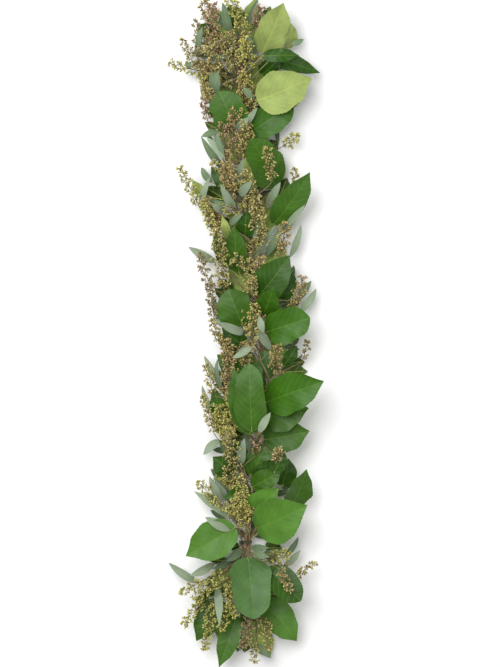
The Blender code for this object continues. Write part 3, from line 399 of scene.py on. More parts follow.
def smooth_curve(points, counts):
    """Points of a Catmull-Rom curve through the given ones, with these counts between each two."""
    ends = [2 * points[0] - points[1], *points, 2 * points[-1] - points[-2]]
    found = []
    for count, before, start, end, after in zip(counts, ends, ends[1:], ends[2:], ends[3:]):
        for t in np.arange(count) / count:
            found.append(0.5 * (2 * start + (end - before) * t
                                + (2 * before - 5 * start + 4 * end - after) * t ** 2
                                + (3 * start - before - 3 * end + after) * t ** 3))
    found.append(points[-1])
    return np.array(found)


TWINE_LINE = smooth_route([plan_point(*point) for point in TWINE_ROUTE], TWINE_SPACING)


def core_x(y):
    """Where the twine's middle lies across the garland at this height of the plan."""
    order = np.argsort(TWINE_LINE[:, 1])
    return np.interp(y, TWINE_LINE[order, 1], TWINE_LINE[order, 0])


def facing_out(points, faces):
    """The same solid with its faces turned to point out."""
    volume = np.linalg.det(points[faces]).sum()
    return (points, faces) if volume > 0 else (points, faces[:, ::-1])


def units(vectors):
    """These vectors, each at a length of 1."""
    return vectors / np.linalg.norm(vectors, axis=1)[:, None]


def level_frames(path):
    """A path's directions at its points, and level directions square to them."""
    along = units(np.gradient(path, axis=0))
    return along, units(np.cross(along, (0.0, 0.0, 1.0)))


def carried_frames(path):
    """A path's directions, halfway round each corner, and directions square to them that turn
    as little as can be from one point to the next."""
    runs = units(np.diff(path, axis=0))
    along = units(np.concatenate([runs[:1], runs]) + np.concatenate([runs, runs[-1:]]))
    across = [unit(np.cross(along[0], (0.0, 1.0, 0.0)))]
    for ahead in along[1:]:
        across.append(unit(across[-1] - across[-1].dot(ahead) * ahead))
    return along, np.array(across)


def tube(path, radii, sides, frames=level_frames):
    """A closed tube round a path of 3-D points, as (points, triangles)."""
    path = np.asarray(path, float)
    along, across = frames(path)
    above = np.cross(across, along)
    angles = 2 * math.pi * (np.arange(sides) + 0.5) / sides
    ring = np.cos(angles)[:, None, None] * across + np.sin(angles)[:, None, None] * above
    radii = np.broadcast_to(radii, len(path))
    points = (path + ring * radii[:, None]).transpose(1, 0, 2).reshape(-1, 3)
    faces = []
    for k in range(len(path) - 1):
        for j in range(sides):
            a, b = k * sides + j, k * sides + (j + 1) % sides
            faces += [(a, b, b + sides), (a, b + sides, a + sides)]
    last = (len(path) - 1) * sides
    for j in range(1, sides - 1):
        faces += [(0, j + 1, j), (last, last + j, last + j + 1)]
    return facing_out(points, np.array(faces))


def lemon_half_width(t):
    """Half the width of a lemon leaf, as a share of its widest, at this share of its length."""
    return t ** 0.5 * (1 - t) ** 0.75 / 0.431


def lance_half_width(t):
    """Half the width of a eucalyptus leaf, as a share of its widest, at this share of its length."""
    return t ** 0.7 * (1 - t) ** 0.85 / 0.344


def blade_surface(t, s, form):
    """A point of a leaf's middle surface: t runs along the blade, s from edge to edge."""
    half = form.width / 2 * form.half_width(t)
    rise = form.arch * form.length * np.sin(math.pi * t) - form.droop * form.length * t ** 2
    cup = form.cup * half * np.abs(s) ** 1.5
    turn = 2 * math.pi * (form.waves * t + form.phase + 0.2 * s)
    wave = form.wave_height * s ** 2 * np.sin(turn) * (t * (1 - t)) ** 0.5
    side = form.bend * form.length * (t ** 2 - t)
    return np.stack([t * form.length + 0 * s, s * half + side, rise + cup + wave], -1)


class Form(NamedTuple):
    """What a leaf blade's middle surface is worked out from."""

    length: float
    width: float
    arch: float
    droop: float
    cup: float
    bend: float
    wave_height: float
    waves: float
    phase: float
    half_width: object
    stations: tuple
    neck: float
    creased: bool


def blade_rows(form):
    """The middle surface as rows of points from neck to tip: two at the neck, one at the tip."""
    neck = [np.array([[0.0, form.neck, 0.0], [0.0, -form.neck, 0.0]])] if form.creased else []
    edges = np.array([1.0, 0.0, -1.0] if form.creased else [1.0, -1.0])
    rows = [blade_surface(np.full(len(edges), t), edges, form) for t in form.stations]
    return neck + rows + [blade_surface(np.array([1.0]), np.zeros(1), form)]


def ribbon(rows, ups, halves):
    """A thin closed solid through rows of one to three points, split alike on both its faces."""
    first = np.cumsum([0] + [len(row) for row in rows])
    top = []
    for k in range(len(rows) - 1):
        a, b = first[k], first[k + 1]
        left, right = len(rows[k]), len(rows[k + 1])
        if left == 2 and right == 2:
            top += [(a, a + 1, b), (a + 1, b + 1, b)]
        elif left == 2 and right == 3:
            top += [(a, b + 1, b), (a, a + 1, b + 1), (a + 1, b + 2, b + 1)]
        elif left == 3 and right == 3:
            for j in (0, 1):
                top += [(a + j, a + j + 1, b + j), (a + j + 1, b + j + 1, b + j)]
        else:
            top += [(a + j, a + j + 1, b) for j in range(left - 1)]
    middle = np.concatenate(rows)
    offset = np.concatenate([np.tile(up * half, (len(row), 1)) for row, up, half in zip(rows, ups, halves)])
    count = len(middle)
    edges = {(face[k], face[(k + 1) % 3]) for face in top for k in range(3)}
    faces = top + [(c + count, b + count, a + count) for a, b, c in top]
    for a, b in sorted(edges):
        if (b, a) not in edges:
            faces += [(b, a, a + count), (b, a + count, b + count)]
    return facing_out(np.concatenate([middle + offset, middle - offset]), np.array(faces))


def spray_points(length, width, bend, clusters):
    """A panicle: clusters of stalked seeds along a three-sided axis, and a seed at its tip."""
    reach = max(LEAST_REACH, width / 2 - REACH_ROOM)
    points, faces = [], []
    first_at = min(FIRST_CLUSTER, FIRST_SHARE * length)
    for k, x in enumerate(np.linspace(first_at, length - LAST_CLUSTER, clusters)):
        start = len(points)
        for ring in (0, 1):
            turn = math.pi / 3 * (ring + k)
            for j in range(3):
                a = 2 * math.pi * j / 3 + turn
                y, z = AXIS_RADIUS * math.cos(a), AXIS_RADIUS * math.sin(a)
                points.append(np.array([x + CLUSTER_BAND * ring, y, z]))
        if k:
            faces += prism_sides(before, start)
        for j in range(3):
            a, b = start + j, start + (j + 1) % 3
            for corners, ahead in zip(((a, b, a + 3), (b, b + 3, a + 3)), SEED_LEANS):
                places = [points[corner] for corner in corners]
                made, sides = seed_on(places, corners, ahead, reach, len(points))
                points += made
                faces += sides
        before = start + 3
    points.append(np.array([length, 0.0, 0.0]))
    faces += [(before + j, before + (j + 1) % 3, len(points) - 1) for j in range(3)]
    points = np.array(points)
    share = np.clip(points[:, 0] / length, 0, 1)
    points[:, 1] += bend * length * (share ** 2 - share)
    points[:, 2] *= SPRAY_FLATNESS
    return points, np.array(faces)


def prism_sides(before, start):
    """The plain stretch of axis between two clusters."""
    sides = []
    for j in range(3):
        a, b = before + j, before + (j + 1) % 3
        c, d = start + (j + 1) % 3, start + j
        sides += [(a, b, c), (a, c, d)]
    return sides


def seed_on(places, corners, lean, reach, first):
    """Draws one facet of the axis out into a stalked seed: its new points and its faces."""
    middle = np.mean(places, axis=0)
    out = unit(middle * np.array([0.0, 1.0, 1.0]))
    ahead = unit(np.array([lean, 0.0, 0.0]) + out)
    centre = middle + ahead * (reach / ahead.dot(out))
    made = []
    for place in places:
        flat = place - middle
        flat = flat - ahead * flat.dot(ahead)
        made.append(centre + unit(flat) * SEED_HALF)
    made.append(centre + ahead * SEED_LENGTH)
    sides = []
    for k in range(3):
        a, b = corners[k], corners[(k + 1) % 3]
        c, d = first + (k + 1) % 3, first + k
        sides += [(a, b, c), (a, c, d), (d, c, first + 3)]
    return made, sides


def stalked(points, faces, stalk):
    """The panicle with its axis led back along the stalk, which ends inside the stem."""
    rings = []
    for k, place in enumerate(stalk[:-1]):
        along = unit(stalk[k + 1] - stalk[max(k - 1, 0)])
        across = unit(np.cross(along, (0.0, 0.0, 1.0)))
        above = np.cross(across, along)
        first = points[:3] - points[:3].mean(axis=0)
        if k == 0:
            turn = [math.atan2(v.dot(above), v.dot(across)) for v in first]
        rings.append([place + STALK_RADIUS * (math.cos(a) * across + math.sin(a) * above)
                      for a in turn])
    joined = np.concatenate([np.array(ring) for ring in rings] + [points])
    count = 3 * len(rings)
    shifted = (faces + count).tolist()
    for k in range(len(rings)):
        for j in range(3):
            a, b = 3 * k + j, 3 * k + (j + 1) % 3
            shifted += [(a, b, b + 3), (a, b + 3, a + 3)]
    shifted.append((2, 1, 0))
    return facing_out(joined, np.array(shifted))


def seeds_on_twig(shape, pose, twig):
    """The panicle laid in its place, with its stalk."""
    points, faces = shape
    return stalked(pose.place(points), faces, twig)


def triangle_spots(points, faces, step=SPOT_STEP):
    """Many spots spread over the faces of a solid."""
    corners = points[faces]
    longest = np.linalg.norm(corners - np.roll(corners, 1, axis=1), axis=2).max(axis=1)
    found = []
    for triangle, size in zip(corners, longest):
        found.append(grid_of(max(1, math.ceil(size / step))) @ triangle)
    return np.concatenate(found)


@cache
def grid_of(count):
    """The shares of its three corners at each spot of a triangle that is split this many times."""
    return np.array([(i, j, count - i - j) for i in range(count + 1)
                     for j in range(count + 1 - i)]) / count


class Heights:
    """The highest surface so far over each cell of the plan, counted from the core's middle."""

    def __init__(self, lowest=LOWEST_COVER):
        self.counts = [int(2 * half / CELL) for half in PLAN_HALF]
        self.top = np.full(self.counts, lowest)

    def copy(self):
        """The same heights, to add to on their own."""
        other = Heights()
        other.top = self.top.copy()
        return other

    def cells(self, points):
        """The cells that these points lie over."""
        index = [((points[:, k] + PLAN_HALF[k]) / CELL).astype(int) for k in (0, 1)]
        return tuple(np.clip(index[k], 0, self.counts[k] - 1) for k in (0, 1))

    def add(self, points):
        """Raises the cells under these points to them."""
        np.maximum.at(self.top, self.cells(points), points[:, 2])

    def add_solid(self, solid):
        """Raises the cells under a solid to it."""
        self.add(triangle_spots(*solid))

    def widened(self, reach=1):
        """Each cell's height, or the highest of its neighbours this many cells around."""
        wide = self.top
        for _ in range(reach):
            edged = np.pad(wide, 1, mode="edge")
            shifts = [edged[i:i + wide.shape[0], j:j + wide.shape[1]] for i in range(3) for j in range(3)]
            wide = np.max(shifts, axis=0)
        return wide


PLAN_CELLS = Heights()


def turned(yaw, pitch, roll):
    """The rotation that points a blade's length along yaw, lifts its tip by pitch and rolls it."""
    cy, sy = math.cos(yaw), math.sin(yaw)
    cp, sp = math.cos(pitch), math.sin(pitch)
    cr, sr = math.cos(roll), math.sin(roll)
    about_z = np.array([[cy, -sy, 0], [sy, cy, 0], [0, 0, 1]])
    about_y = np.array([[cp, 0, -sp], [0, 1, 0], [sp, 0, cp]])
    about_x = np.array([[1, 0, 0], [0, cr, -sr], [0, sr, cr]])
    return about_z @ about_y @ about_x


class Pose(NamedTuple):
    """Where a leaf or spray lies: the place of its base, its stretch and its rotation."""

    at: np.ndarray
    stretch: np.ndarray
    spin: np.ndarray

    def place(self, points):
        """Points of the leaf or spray where they lie on the plan."""
        return (points * self.stretch) @ self.spin.T + self.at

    @property
    def heading(self):
        """The direction that the leaf or spray points in."""
        return self.spin[:, 0]


def settle(solid, base, tip, under, own, highest=None):
    """Lays a leaf or spray down as low as it goes without touching what lies under it."""
    local = triangle_spots(*solid, step=SETTLE_STEP)
    outward = (base[0] - core_x(base[1])) / HALF_SPREAD
    outward = max(-MOST_OUTWARD, min(MOST_OUTWARD, outward))
    yaw = math.atan2(tip[1] - base[1], tip[0] - base[0])
    roll = ROLL_SHARE * outward * math.sin(yaw)
    easy = EASY_PITCH - OUTWARD_PITCH * outward * math.cos(yaw)
    best = None
    for degrees in PITCHES:
        pitch = math.radians(degrees)
        stretch = np.array([min(MOST_STRETCH, 1 / math.cos(pitch)), 1.0, 1.0])
        pose = Pose(np.array([*base, 0.0]), stretch, turned(yaw, pitch, roll))
        found = pose.place(local)
        cells = PLAN_CELLS.cells(found)
        clear = (under[cells] + CLEARANCE - found[:, 2]).max()
        past = np.hypot(found[:, 0] - base[0], found[:, 1] - base[1]) > BASE_ROOM
        crossing = (own[cells] + CLEARANCE - found[:, 2])[past].max() if past.any() else clear
        lift = max(clear, min(crossing, clear + MOST_CROSSING), LEAST_LIFT)
        too_high = max(0.0, (found[:, 2] + lift).max() - EASY_TOP)
        cost = lift + PITCH_COST * abs(degrees - easy) + HIGH_COST * too_high
        if highest is not None:
            cost += ROOF_COST * max(0.0, lift + ROOF_ROOM - highest)
        if best is None or cost < best[0]:
            best = (cost, pose._replace(at=np.array([*base, lift])))
    return best[1]


def lifted(path, fixed, under, radius, highest):
    """The path with its free points raised until every stretch of it clears what lies under it."""
    path = np.array(path, float)
    caps = np.full(len(path), highest - ROOF_RADII * radius)
    free = ~np.array(fixed)
    path[free, 2] = np.minimum(path[free, 2], caps[free])
    for k in range(len(path)):
        for j in range(len(path)):
            if fixed[j]:
                run = math.dist(path[k][:2], path[j][:2])
                caps[k] = min(caps[k], path[j][2] + MOST_SLOPE * run + SLOPE_ROOM)
    shares = np.linspace(0, 1, STRETCH_SPOTS)[:, None]
    for _ in range(LIFT_ROUNDS):
        worst = 0.0
        for k in range(len(path) - 1):
            found = path[k] + shares * (path[k + 1] - path[k])
            short = under[PLAN_CELLS.cells(found)] + radius + CLEARANCE - found[:, 2]
            pick = int(short.argmax())
            if short[pick] <= LIFT_DONE:
                continue
            high = float(shares[pick, 0])
            for end, share in ((k, 1 - high), (k + 1, high)):
                if not fixed[end] and path[end, 2] < caps[end] and share > LEAST_SHARE:
                    raised = min(caps[end], path[end, 2] + short[pick] * max(share, LEAST_RAISE))
                    worst = max(worst, raised - path[end, 2])
                    path[end, 2] = raised
        if worst <= LIFT_DONE:
            break
    return path


def hub_of(bunch):
    """The middle of the twine where a bunch is bound."""
    y = plan_point(0, bunch.row)[1]
    return np.array([core_x(y), y])


def departure(bunch, slot):
    """The fixed part of a stem: its cut end, its bind, and the stretch where it leaves the core."""
    hub = hub_of(bunch)
    angle = math.radians(slot + bunch.turn)
    out = np.array([math.cos(angle), math.sin(angle)])
    path = []
    for along, seat in ((-bunch.tail, bunch.seat), (BIND_LENGTH, bunch.seat),
                        (DEPARTURE_LENGTH, bunch.seat + DEPARTURE_SPREAD)):
        y = hub[1] + bunch.points * along
        path.append(np.array([core_x(y) + out[0] * seat, y, abs(out[1]) * seat]))
    return path


def unit(vector):
    """The vector at a length of 1."""
    return vector / np.linalg.norm(vector)


def curve_between(start, start_heading, end, end_heading, count):
    """Points of a cubic curve that leaves and arrives along the given headings."""
    reach = CURVE_REACH * np.linalg.norm(end - start)
    one, two = start + start_heading * reach, end - end_heading * reach
    t = np.linspace(0, 1, count + 1)[:, None]
    return (1 - t) ** 3 * start + 3 * (1 - t) ** 2 * t * one + 3 * (1 - t) * t ** 2 * two + t ** 3 * end


class Blocked:
    """What has been laid already, as one tree of faces that a new solid is tested against."""

    def __init__(self, solids):
        points, faces, count = [], [], 0
        for solid_points, solid_faces in solids:
            points += solid_points.tolist()
            faces += (solid_faces + count).tolist()
            count += len(solid_points)
        self.tree = BVHTree.FromPolygons(points, faces) if faces else None

    def clears(self, solid):
        """Whether a solid touches none of the faces."""
        if self.tree is None:
            return True
        other = BVHTree.FromPolygons(solid[0].tolist(), solid[1].tolist())
        return not self.tree.overlap(other)


def main_stem(bunch, slot, bases, under, blocked, highest):
    """The path of a cut stem, swayed or lifted as little as takes it clear of the others."""
    for share in STEM_SHARES:
        for lift in STEM_LIFTS:
            for sway in STEM_SWAYS:
                path = stem_path(bunch, slot, bases, under, (sway, lift, share), highest)
                if blocked.clears(stem_solid(path)):
                    return path
    return stem_path(bunch, slot, bases, under, (0.0, 0.0, 1.0), highest)


def stem_path(bunch, slot, bases, under, change, highest):
    """From its cut end, along the core, to just short of its furthest leaf."""
    sway, lift, share = change
    path = departure(bunch, slot)
    fixed = [True] * len(path)
    start, heading = path[-1], unit(path[-1] - path[-2])
    away = [bunch.points * (base[1] - start[1]) for base in bases]
    far = bases[int(np.argmax(away))]
    if share and max(away) > SHORTEST_STEM:
        far = start[:2] + share * (far - start[:2])
        reach = math.dist(far, start[:2])
        end = np.array([*(far - unit(far - start[:2]) * STEM_END_ROOM), start[2] + STEM_RISE * reach])
        count = max(2, round(reach / STEM_STRETCH))
        toward = unit(np.array([*(far - start[:2]), STEM_END_RISE * reach]))
        curve = curve_between(start, heading, end, toward, count)
        arc = np.sin(np.linspace(0, math.pi, count + 1))
        curve[:, 0] += sway * arc
        path += list(curve[1:])
    else:
        path.append(start + heading * STUB_LENGTH + np.array([STUB_SWAY * sway, 0.0, 0.0]))
    path = np.array(path)
    path[3:, 2] += lift
    fixed += [False] * (len(path) - len(fixed))
    return lifted(path, fixed, under, STEM_RADIUS, highest)


def stem_solid(path):
    """A cut stem, thinner towards its far end."""
    radii = np.full(len(path), STEM_RADIUS)
    radii[3:] = np.linspace(STEM_RADIUS * STEM_TAPER, STEM_END_RADIUS, len(path) - 3)
    return tube(path, radii, 4)


def twig_starts(bunch, stem, pose):
    """Places along the stem that a twig may start from, the likeliest first, with the stem's heading."""
    stretches = [np.linspace(a, b, STEM_SPOTS, endpoint=False) for a, b in zip(stem[1:], stem[2:])]
    dense = np.concatenate(stretches)
    along = bunch.points * (pose.at[1] - dense[:, 1])
    aside = np.abs(pose.at[0] - dense[:, 0])
    wanted = np.maximum(LEAST_TWIG_RUN, TWIG_RUN_SHARE * aside)
    run = np.hypot(along, aside)
    climb = np.maximum(0.0, np.abs(pose.at[2] - dense[:, 2]) - EASY_CLIMB * run)
    cost = np.abs(along - wanted) + RUN_COST * run + climb
    order = np.argsort(cost)
    last = len(dense) - 1
    return [(dense[k], unit(dense[min(k + 1, last)] - dense[max(k - 1, 0)])) for k in order]


def twig_path(start, heading, pose, under, sway, highest):
    """A thin curve from inside the stem to the base of a leaf or spray."""
    gap = np.linalg.norm(pose.at - start)
    count = 1 if gap < LONG_TWIG else 2
    curve = curve_between(start, heading, pose.at, pose.heading, count)
    across = unit(np.cross(pose.at - start, (0.0, 0.0, 1.0)))
    curve[1:-1] += sway * across
    fixed = [True] + [False] * (count - 1) + [True]
    return lifted(curve, fixed, under, TWIG_RADIUS, highest)


def joined_to_stem(bunch, stem, pose, under, blocked, make, highest=OPEN_HEIGHT):
    """The leaf or spray with the first twig that takes it to the stem clear of all the others."""
    for lift in POSE_LIFTS:
        raised = pose._replace(at=pose.at + np.array([0.0, 0.0, lift]))
        for start, heading in twig_starts(bunch, stem, raised)[:TWIG_TRIES]:
            for sway in TWIG_SWAYS:
                path = twig_path(start, heading, raised, under, sway, highest)
                solid = make(raised, path)
                if blocked.clears(solid):
                    return solid, raised, path
                if len(path) == 2:
                    break
    return None


def leaf_on_twig(form, pose, twig):
    """The blade and its petiole as one ribbon, rooted inside the stem."""
    rows = [pose.place(row) for row in blade_rows(form)]
    up = pose.spin[:, 2]
    ups = [up] * len(rows)
    halves = [BLADE_THICKNESS / 2] * len(rows)
    if form.creased:
        halves[0] = TWIG_HALF
    for k in range(len(twig) - 2, -1, -1):
        along = unit(twig[k + 1] - twig[max(k - 1, 0)])
        side = unit(np.cross((0.0, 0.0, 1.0), along))
        rows.insert(0, np.array([twig[k] + side * TWIG_HALF, twig[k] - side * TWIG_HALF]))
        ups.insert(0, np.cross(along, side))
        halves.insert(0, TWIG_HALF)
    return ribbon(rows, ups, halves)


def leaf_form(leaf, lance, dice, fine):
    """The form of a leaf of the plan: a narrow eucalyptus leaf, or a broad lemon leaf with a crease."""
    length = PLAN_STEP * math.dist(leaf.base, leaf.tip)
    width = PLAN_STEP * leaf.width
    bend = dice.uniform(-0.22, 0.22)
    phase = dice.uniform(0, 1)
    if lance:
        return Form(length, width, arch=0.06, droop=0.05, cup=0.10, bend=bend, wave_height=0.8, waves=1.0,
                    phase=phase, half_width=lance_half_width, stations=LANCE_STATIONS, neck=1.0,
                    creased=False)
    stations = BROAD_STATIONS if fine and leaf.width > BROAD_LEAF else PLAIN_STATIONS
    return Form(length, width, arch=0.07, droop=0.05, cup=0.16, bend=0.3 * bend, wave_height=1.6,
                waves=1.6, phase=phase, half_width=lemon_half_width, stations=stations, neck=1.3,
                creased=True)


def blade_solid(form, half=BLADE_THICKNESS / 2):
    """A leaf blade without its stalk, lying along x."""
    rows = blade_rows(form)
    return ribbon(rows, [np.array([0.0, 0.0, 1.0])] * len(rows), [half] * len(rows))


def spray_form(spray, dice):
    """A panicle's length, width, bend and number of clusters."""
    length = PLAN_STEP * math.dist(spray.base, spray.tip)
    clusters = 1 if length < SHORT_SPRAY or spray.width < NARROW_SPRAY else 2
    return length, PLAN_STEP * spray.width, dice.uniform(-SPRAY_BEND, SPRAY_BEND), clusters


def shaped(item, kind, dice, fine):
    """A leaf's or panicle's form, its solid without a stalk, and what makes the one with its stalk."""
    if kind == "seeds":
        form = spray_form(item, dice)
        shape = spray_points(*form)
        return form, shape, partial(seeds_on_twig, shape)
    form = leaf_form(item, kind == "eucalyptus", dice, fine)
    return form, blade_solid(form), partial(leaf_on_twig, form)


def bunch_of(base):
    """The bunch that a leaf or spray grows from: the nearest bind well behind its base."""
    row = base[1]
    if row < TIE_ROW:
        fits = [bunch for bunch in BUNCHES if bunch.points > 0 and bunch.row >= row + ROOM_AT_BIND]
        return min(fits, key=lambda bunch: bunch.row)
    fits = [bunch for bunch in BUNCHES if bunch.points < 0 and bunch.row <= row - ROOM_AT_BIND]
    return max(fits, key=lambda bunch: bunch.row)


# The kinds of stem in a bunch, in the order they are laid, and what each carries.
KINDS = {"lemon": LEMON_LEAVES, "eucalyptus": LANCE_LEAVES, "seeds": SEED_SPRAYS}


class Laid(NamedTuple):
    """A leaf or spray in its place: its form, its pose and the path of its stalk."""

    item: tuple
    form: tuple
    pose: Pose
    twig: np.ndarray


class Stem(NamedTuple):
    """One stem with what it carries. Its solids are the plain ones that the layout is tried with."""

    name: str
    kind: str
    path: np.ndarray
    laid: list
    solids: list
    behind: bool


def front_nodes(front, core):
    """Each bunch's stems with their leaves and seeds, laid one over the other from the core out."""
    dice = np.random.default_rng(SEED)
    stems, laid = [], list(core)
    for number, bunch in enumerate(BUNCHES, 1):
        groups = {}
        for kind, table in KINDS.items():
            items = [item for item in table if bunch_of(item.base) is bunch]
            if items:
                groups[kind] = items
        reach = {kind: max(items, key=lambda item: -bunch.points * item.base[1]).base[0]
                 for kind, items in groups.items()}
        slots = dict(zip(sorted(reach, key=reach.get), FRONT_SLOTS))
        order = list(groups)
        if bunch.top_last == "lemon" and "lemon" in groups:
            order.remove("lemon")
            order.append("lemon")
        for kind in order:
            checked = front.copy()
            others = [tube(departure(bunch, slot), STEM_RADIUS, 4)
                      for other, slot in slots.items() if other != kind]
            others += [tube(departure(later, slot), STEM_RADIUS, 4)
                       for later in BUNCHES[number:] for slot in FRONT_SLOTS]
            for solid in others:
                checked.add_solid(solid)
            items = [(item, plan_point(*item.base), plan_point(*item.tip)) for item in groups[kind]]
            blocked = Blocked(laid + others)
            path, placed_items, solids = grown(bunch, slots[kind], kind, items, checked, blocked, dice)
            laid += solids
            for solid in solids:
                front.add_solid(solid)
            stems.append(Stem(f"{kind}_{number:02d}", kind, path, placed_items, solids, False))
    return stems


def grown(bunch, slot, kind, items, checked, blocked, dice, roof=None):
    """One node: a stem and what it carries, laid over what has been laid already. Behind the core,
    where all is laid upside down, the surface that the garland lies on is the roof."""
    highest = OPEN_HEIGHT if roof is None else roof
    for_stems, under = checked.widened(2), checked.widened()
    bases = [base for _, base, _ in items]
    stem = main_stem(bunch, slot, bases, for_stems, blocked, highest)
    solids, laid = [stem_solid(stem)], []
    own = Heights(EMPTY_HEIGHT)
    own.add_solid(solids[0])
    for item, base, tip in items:
        form, shape, make = shaped(item, kind, dice, fine=roof is None)
        if roof is not None:
            make = partial(leaf_behind, form)
        pose = settle(shape, base, tip, under, own.top, roof)
        joined = joined_to_stem(bunch, stem, pose, for_stems, blocked, make, highest)
        if joined is None or roof is not None and pose.at[2] > roof - BACK_ROOM:
            continue
        solid, raised, twig = joined
        solids.append(solid)
        own.add_solid(solid)
        laid.append(Laid(item, form, raised, twig))
    return stem, laid, solids


class BackRow(NamedTuple):
    """How the leaves of a stem behind the core are spaced: their count, first place, step and size."""

    count: int
    first: float
    step: float
    lengths: tuple
    widths: tuple


BACK_LANCES = BackRow(3, 30.0, 26.0, (50.0, 50.0), (14.0, 14.0))
BACK_LEAVES = BackRow(2, 34.0, 34.0, (68.0, 84.0), (42.0, 52.0))
BACK_END_LEAVES = BackRow(2, 12.0, 8.0, (68.0, 78.0), (42.0, 50.0))


def back_leaves(number, bunch, dice):
    """The leaves of one stem behind the core, each with the two points it lies between."""
    row = BACK_LEAVES
    if is_lance_back(number):
        row = BACK_LANCES
    elif number == 1:
        row = BACK_END_LEAVES
    leaves = []
    for k in range(row.count):
        length, width = dice.uniform(*row.lengths), dice.uniform(*row.widths)
        spread = dice.uniform(-BACK_LEAN_SPREAD, BACK_LEAN_SPREAD)
        lean = math.radians(90 - BACK_LEAN * BACK_OFFSETS[k] + spread)
        base = hub_of(bunch) + np.array([BACK_OFFSETS[k] * BACK_SIDE_SHARE,
                                         bunch.points * (row.first + row.step * k)])
        tip = base + length * np.array([math.cos(lean), bunch.points * math.sin(lean)])
        leaf = Leaf(tuple(base / PLAN_STEP), tuple(tip / PLAN_STEP), width / PLAN_STEP, "back")
        leaves.append((leaf, base, tip))
    return leaves


def is_lance_back(number):
    """Every third stem behind the core is eucalyptus."""
    return number % 3 == 2


def back_nodes(back, core):
    """The stems behind the core, whose leaves the garland lies on."""
    dice = np.random.default_rng(SEED + 1)
    stems, laid = [], [turned_over(solid) for solid in core]
    for number, bunch in enumerate(BUNCHES, 1):
        kind = "eucalyptus" if is_lance_back(number) else "lemon"
        leaves = back_leaves(number, bunch, dice)
        path, placed_items, solids = grown(bunch, BACK_SLOT, kind, leaves, back, Blocked(laid), dice,
                                           CORE_HEIGHT)
        laid += solids
        for solid in solids:
            back.add_solid(solid)
        stems.append(Stem(f"{kind}_back_{number:02d}", kind, path, placed_items, solids, True))
    return stems


def leaf_behind(form, pose, twig):
    """A leaf behind the core, pressed flat by the surface it lies on."""
    return pressed(leaf_on_twig(form, pose, twig))


def pressed(solid):
    """The leaf bent flat where it would reach below the surface that the garland lies on."""
    points, faces = solid[0].copy(), solid[1]
    half = len(points) // 2
    upper, lower = points[:half, 2], points[half:, 2]
    thickness = (upper - lower) / 2
    middle = np.minimum((upper + lower) / 2, CORE_HEIGHT - np.abs(thickness))
    points[:half, 2] = middle + thickness
    points[half:, 2] = middle - thickness
    return points, faces


def turned_over(solid):
    """The solid mirrored from one side of the core to the other."""
    points, faces = solid
    return facing_out(points * np.array([1.0, 1.0, -1.0]), faces)


def twine_solid():
    """The twine that the whole garland is bound along."""
    return tube([(x, y, 0.0) for x, y in TWINE_LINE], TWINE_RADIUS, 6)


def wire_seat(bunch):
    """How far from the middle of the twine the wire runs round a bunch's stems."""
    return bunch.seat + STEM_RADIUS + WIRE_GAP


def wire_solid():
    """One wire: a turn round the core at each bind, and a straight run on to the next."""
    start = math.radians(WIRE_RUN_ANGLE)
    path = []
    for bunch in sorted(BUNCHES, key=lambda bunch: bunch.row):
        if not bunch.own_wire:
            continue
        hub = hub_of(bunch)
        seat = wire_seat(bunch) / math.cos(math.pi / WIRE_TURN_POINTS)
        for k in range(WIRE_TURN_POINTS + 1):
            angle = start + 2 * math.pi * k / WIRE_TURN_POINTS
            y = hub[1] + WIRE_PITCH * (0.5 - k / WIRE_TURN_POINTS)
            path.append((hub[0] + seat * math.cos(angle), y, seat * math.sin(angle)))
    return tube(path, WIRE_RADIUS, 3, carried_frames)


class Look(NamedTuple):
    """The colours of a leaf's two sides, as red, green and blue on a screen's scale of 0 to 255."""

    face: tuple
    under: tuple


class SeedLook(NamedTuple):
    """The colours of a panicle's buds: three that their caps are of, lightened partly as a painted highlight
    and the second most of all, and that of their stalks, darker partly as painted shade between the buds;
    and the share of its buds that have not dropped."""

    caps: tuple
    stalk: tuple
    fullness: float = 1.0


LEMON_LOOKS = {
    "pale": Look((136, 152, 84), (52, 86, 22)),
    # light: a paler leaf colour, partly the leaf's own and partly painted light on leaves that lie in
    # shadow.
    "light": Look((74, 118, 36), (132, 154, 80)),
    # deep: the leaf colour darkened on its face as painted shade, for leaves that lie in shade.
    "deep": Look((38, 73, 8), (128, 150, 74)),
    "bright": Look((48, 92, 4), (132, 154, 74)),
    "green": Look((52, 89, 16), (128, 150, 80)),
    "blue": Look((66, 99, 50), (126, 148, 98)),
    "back": Look((46, 80, 12), (128, 150, 74)),
    # low: both sides darkened as painted shade, for leaves low inside the garland where shade falls.
    "low": Look((46, 78, 20), (42, 70, 20)),
}
LANCE_LOOKS = {
    "grey": Look((98, 120, 88), (120, 138, 110)),
    "silver": Look((134, 150, 124), (138, 154, 128)),
    "back": Look((100, 122, 88), (120, 138, 110)),
    # low: both sides darkened as painted shade, as for the lemon leaves.
    "low": Look((76, 96, 62), (72, 92, 60)),
}
# Cap colours are lightened partly as a painted highlight, and stalk colours darkened partly as painted shade
# between the buds.
SEED_LOOKS = {
    "olive": SeedLook(((196, 186, 108), (224, 214, 142), (140, 122, 74)), (98, 90, 48)),
    "lime": SeedLook(((198, 198, 96), (226, 222, 138), (158, 148, 76)), (108, 106, 50)),
    "pink": SeedLook(((186, 156, 122), (212, 188, 142), (156, 114, 98)), (104, 80, 58)),
    "rosy": SeedLook(((188, 160, 118), (212, 192, 140), (164, 118, 104)), (122, 84, 66), 0.5),
    "gold": SeedLook(((196, 172, 110), (220, 202, 142), (152, 124, 78)), (102, 86, 48)),
    "dusky": SeedLook(((172, 156, 106), (200, 186, 132), (122, 100, 72)), (86, 72, 46)),
}

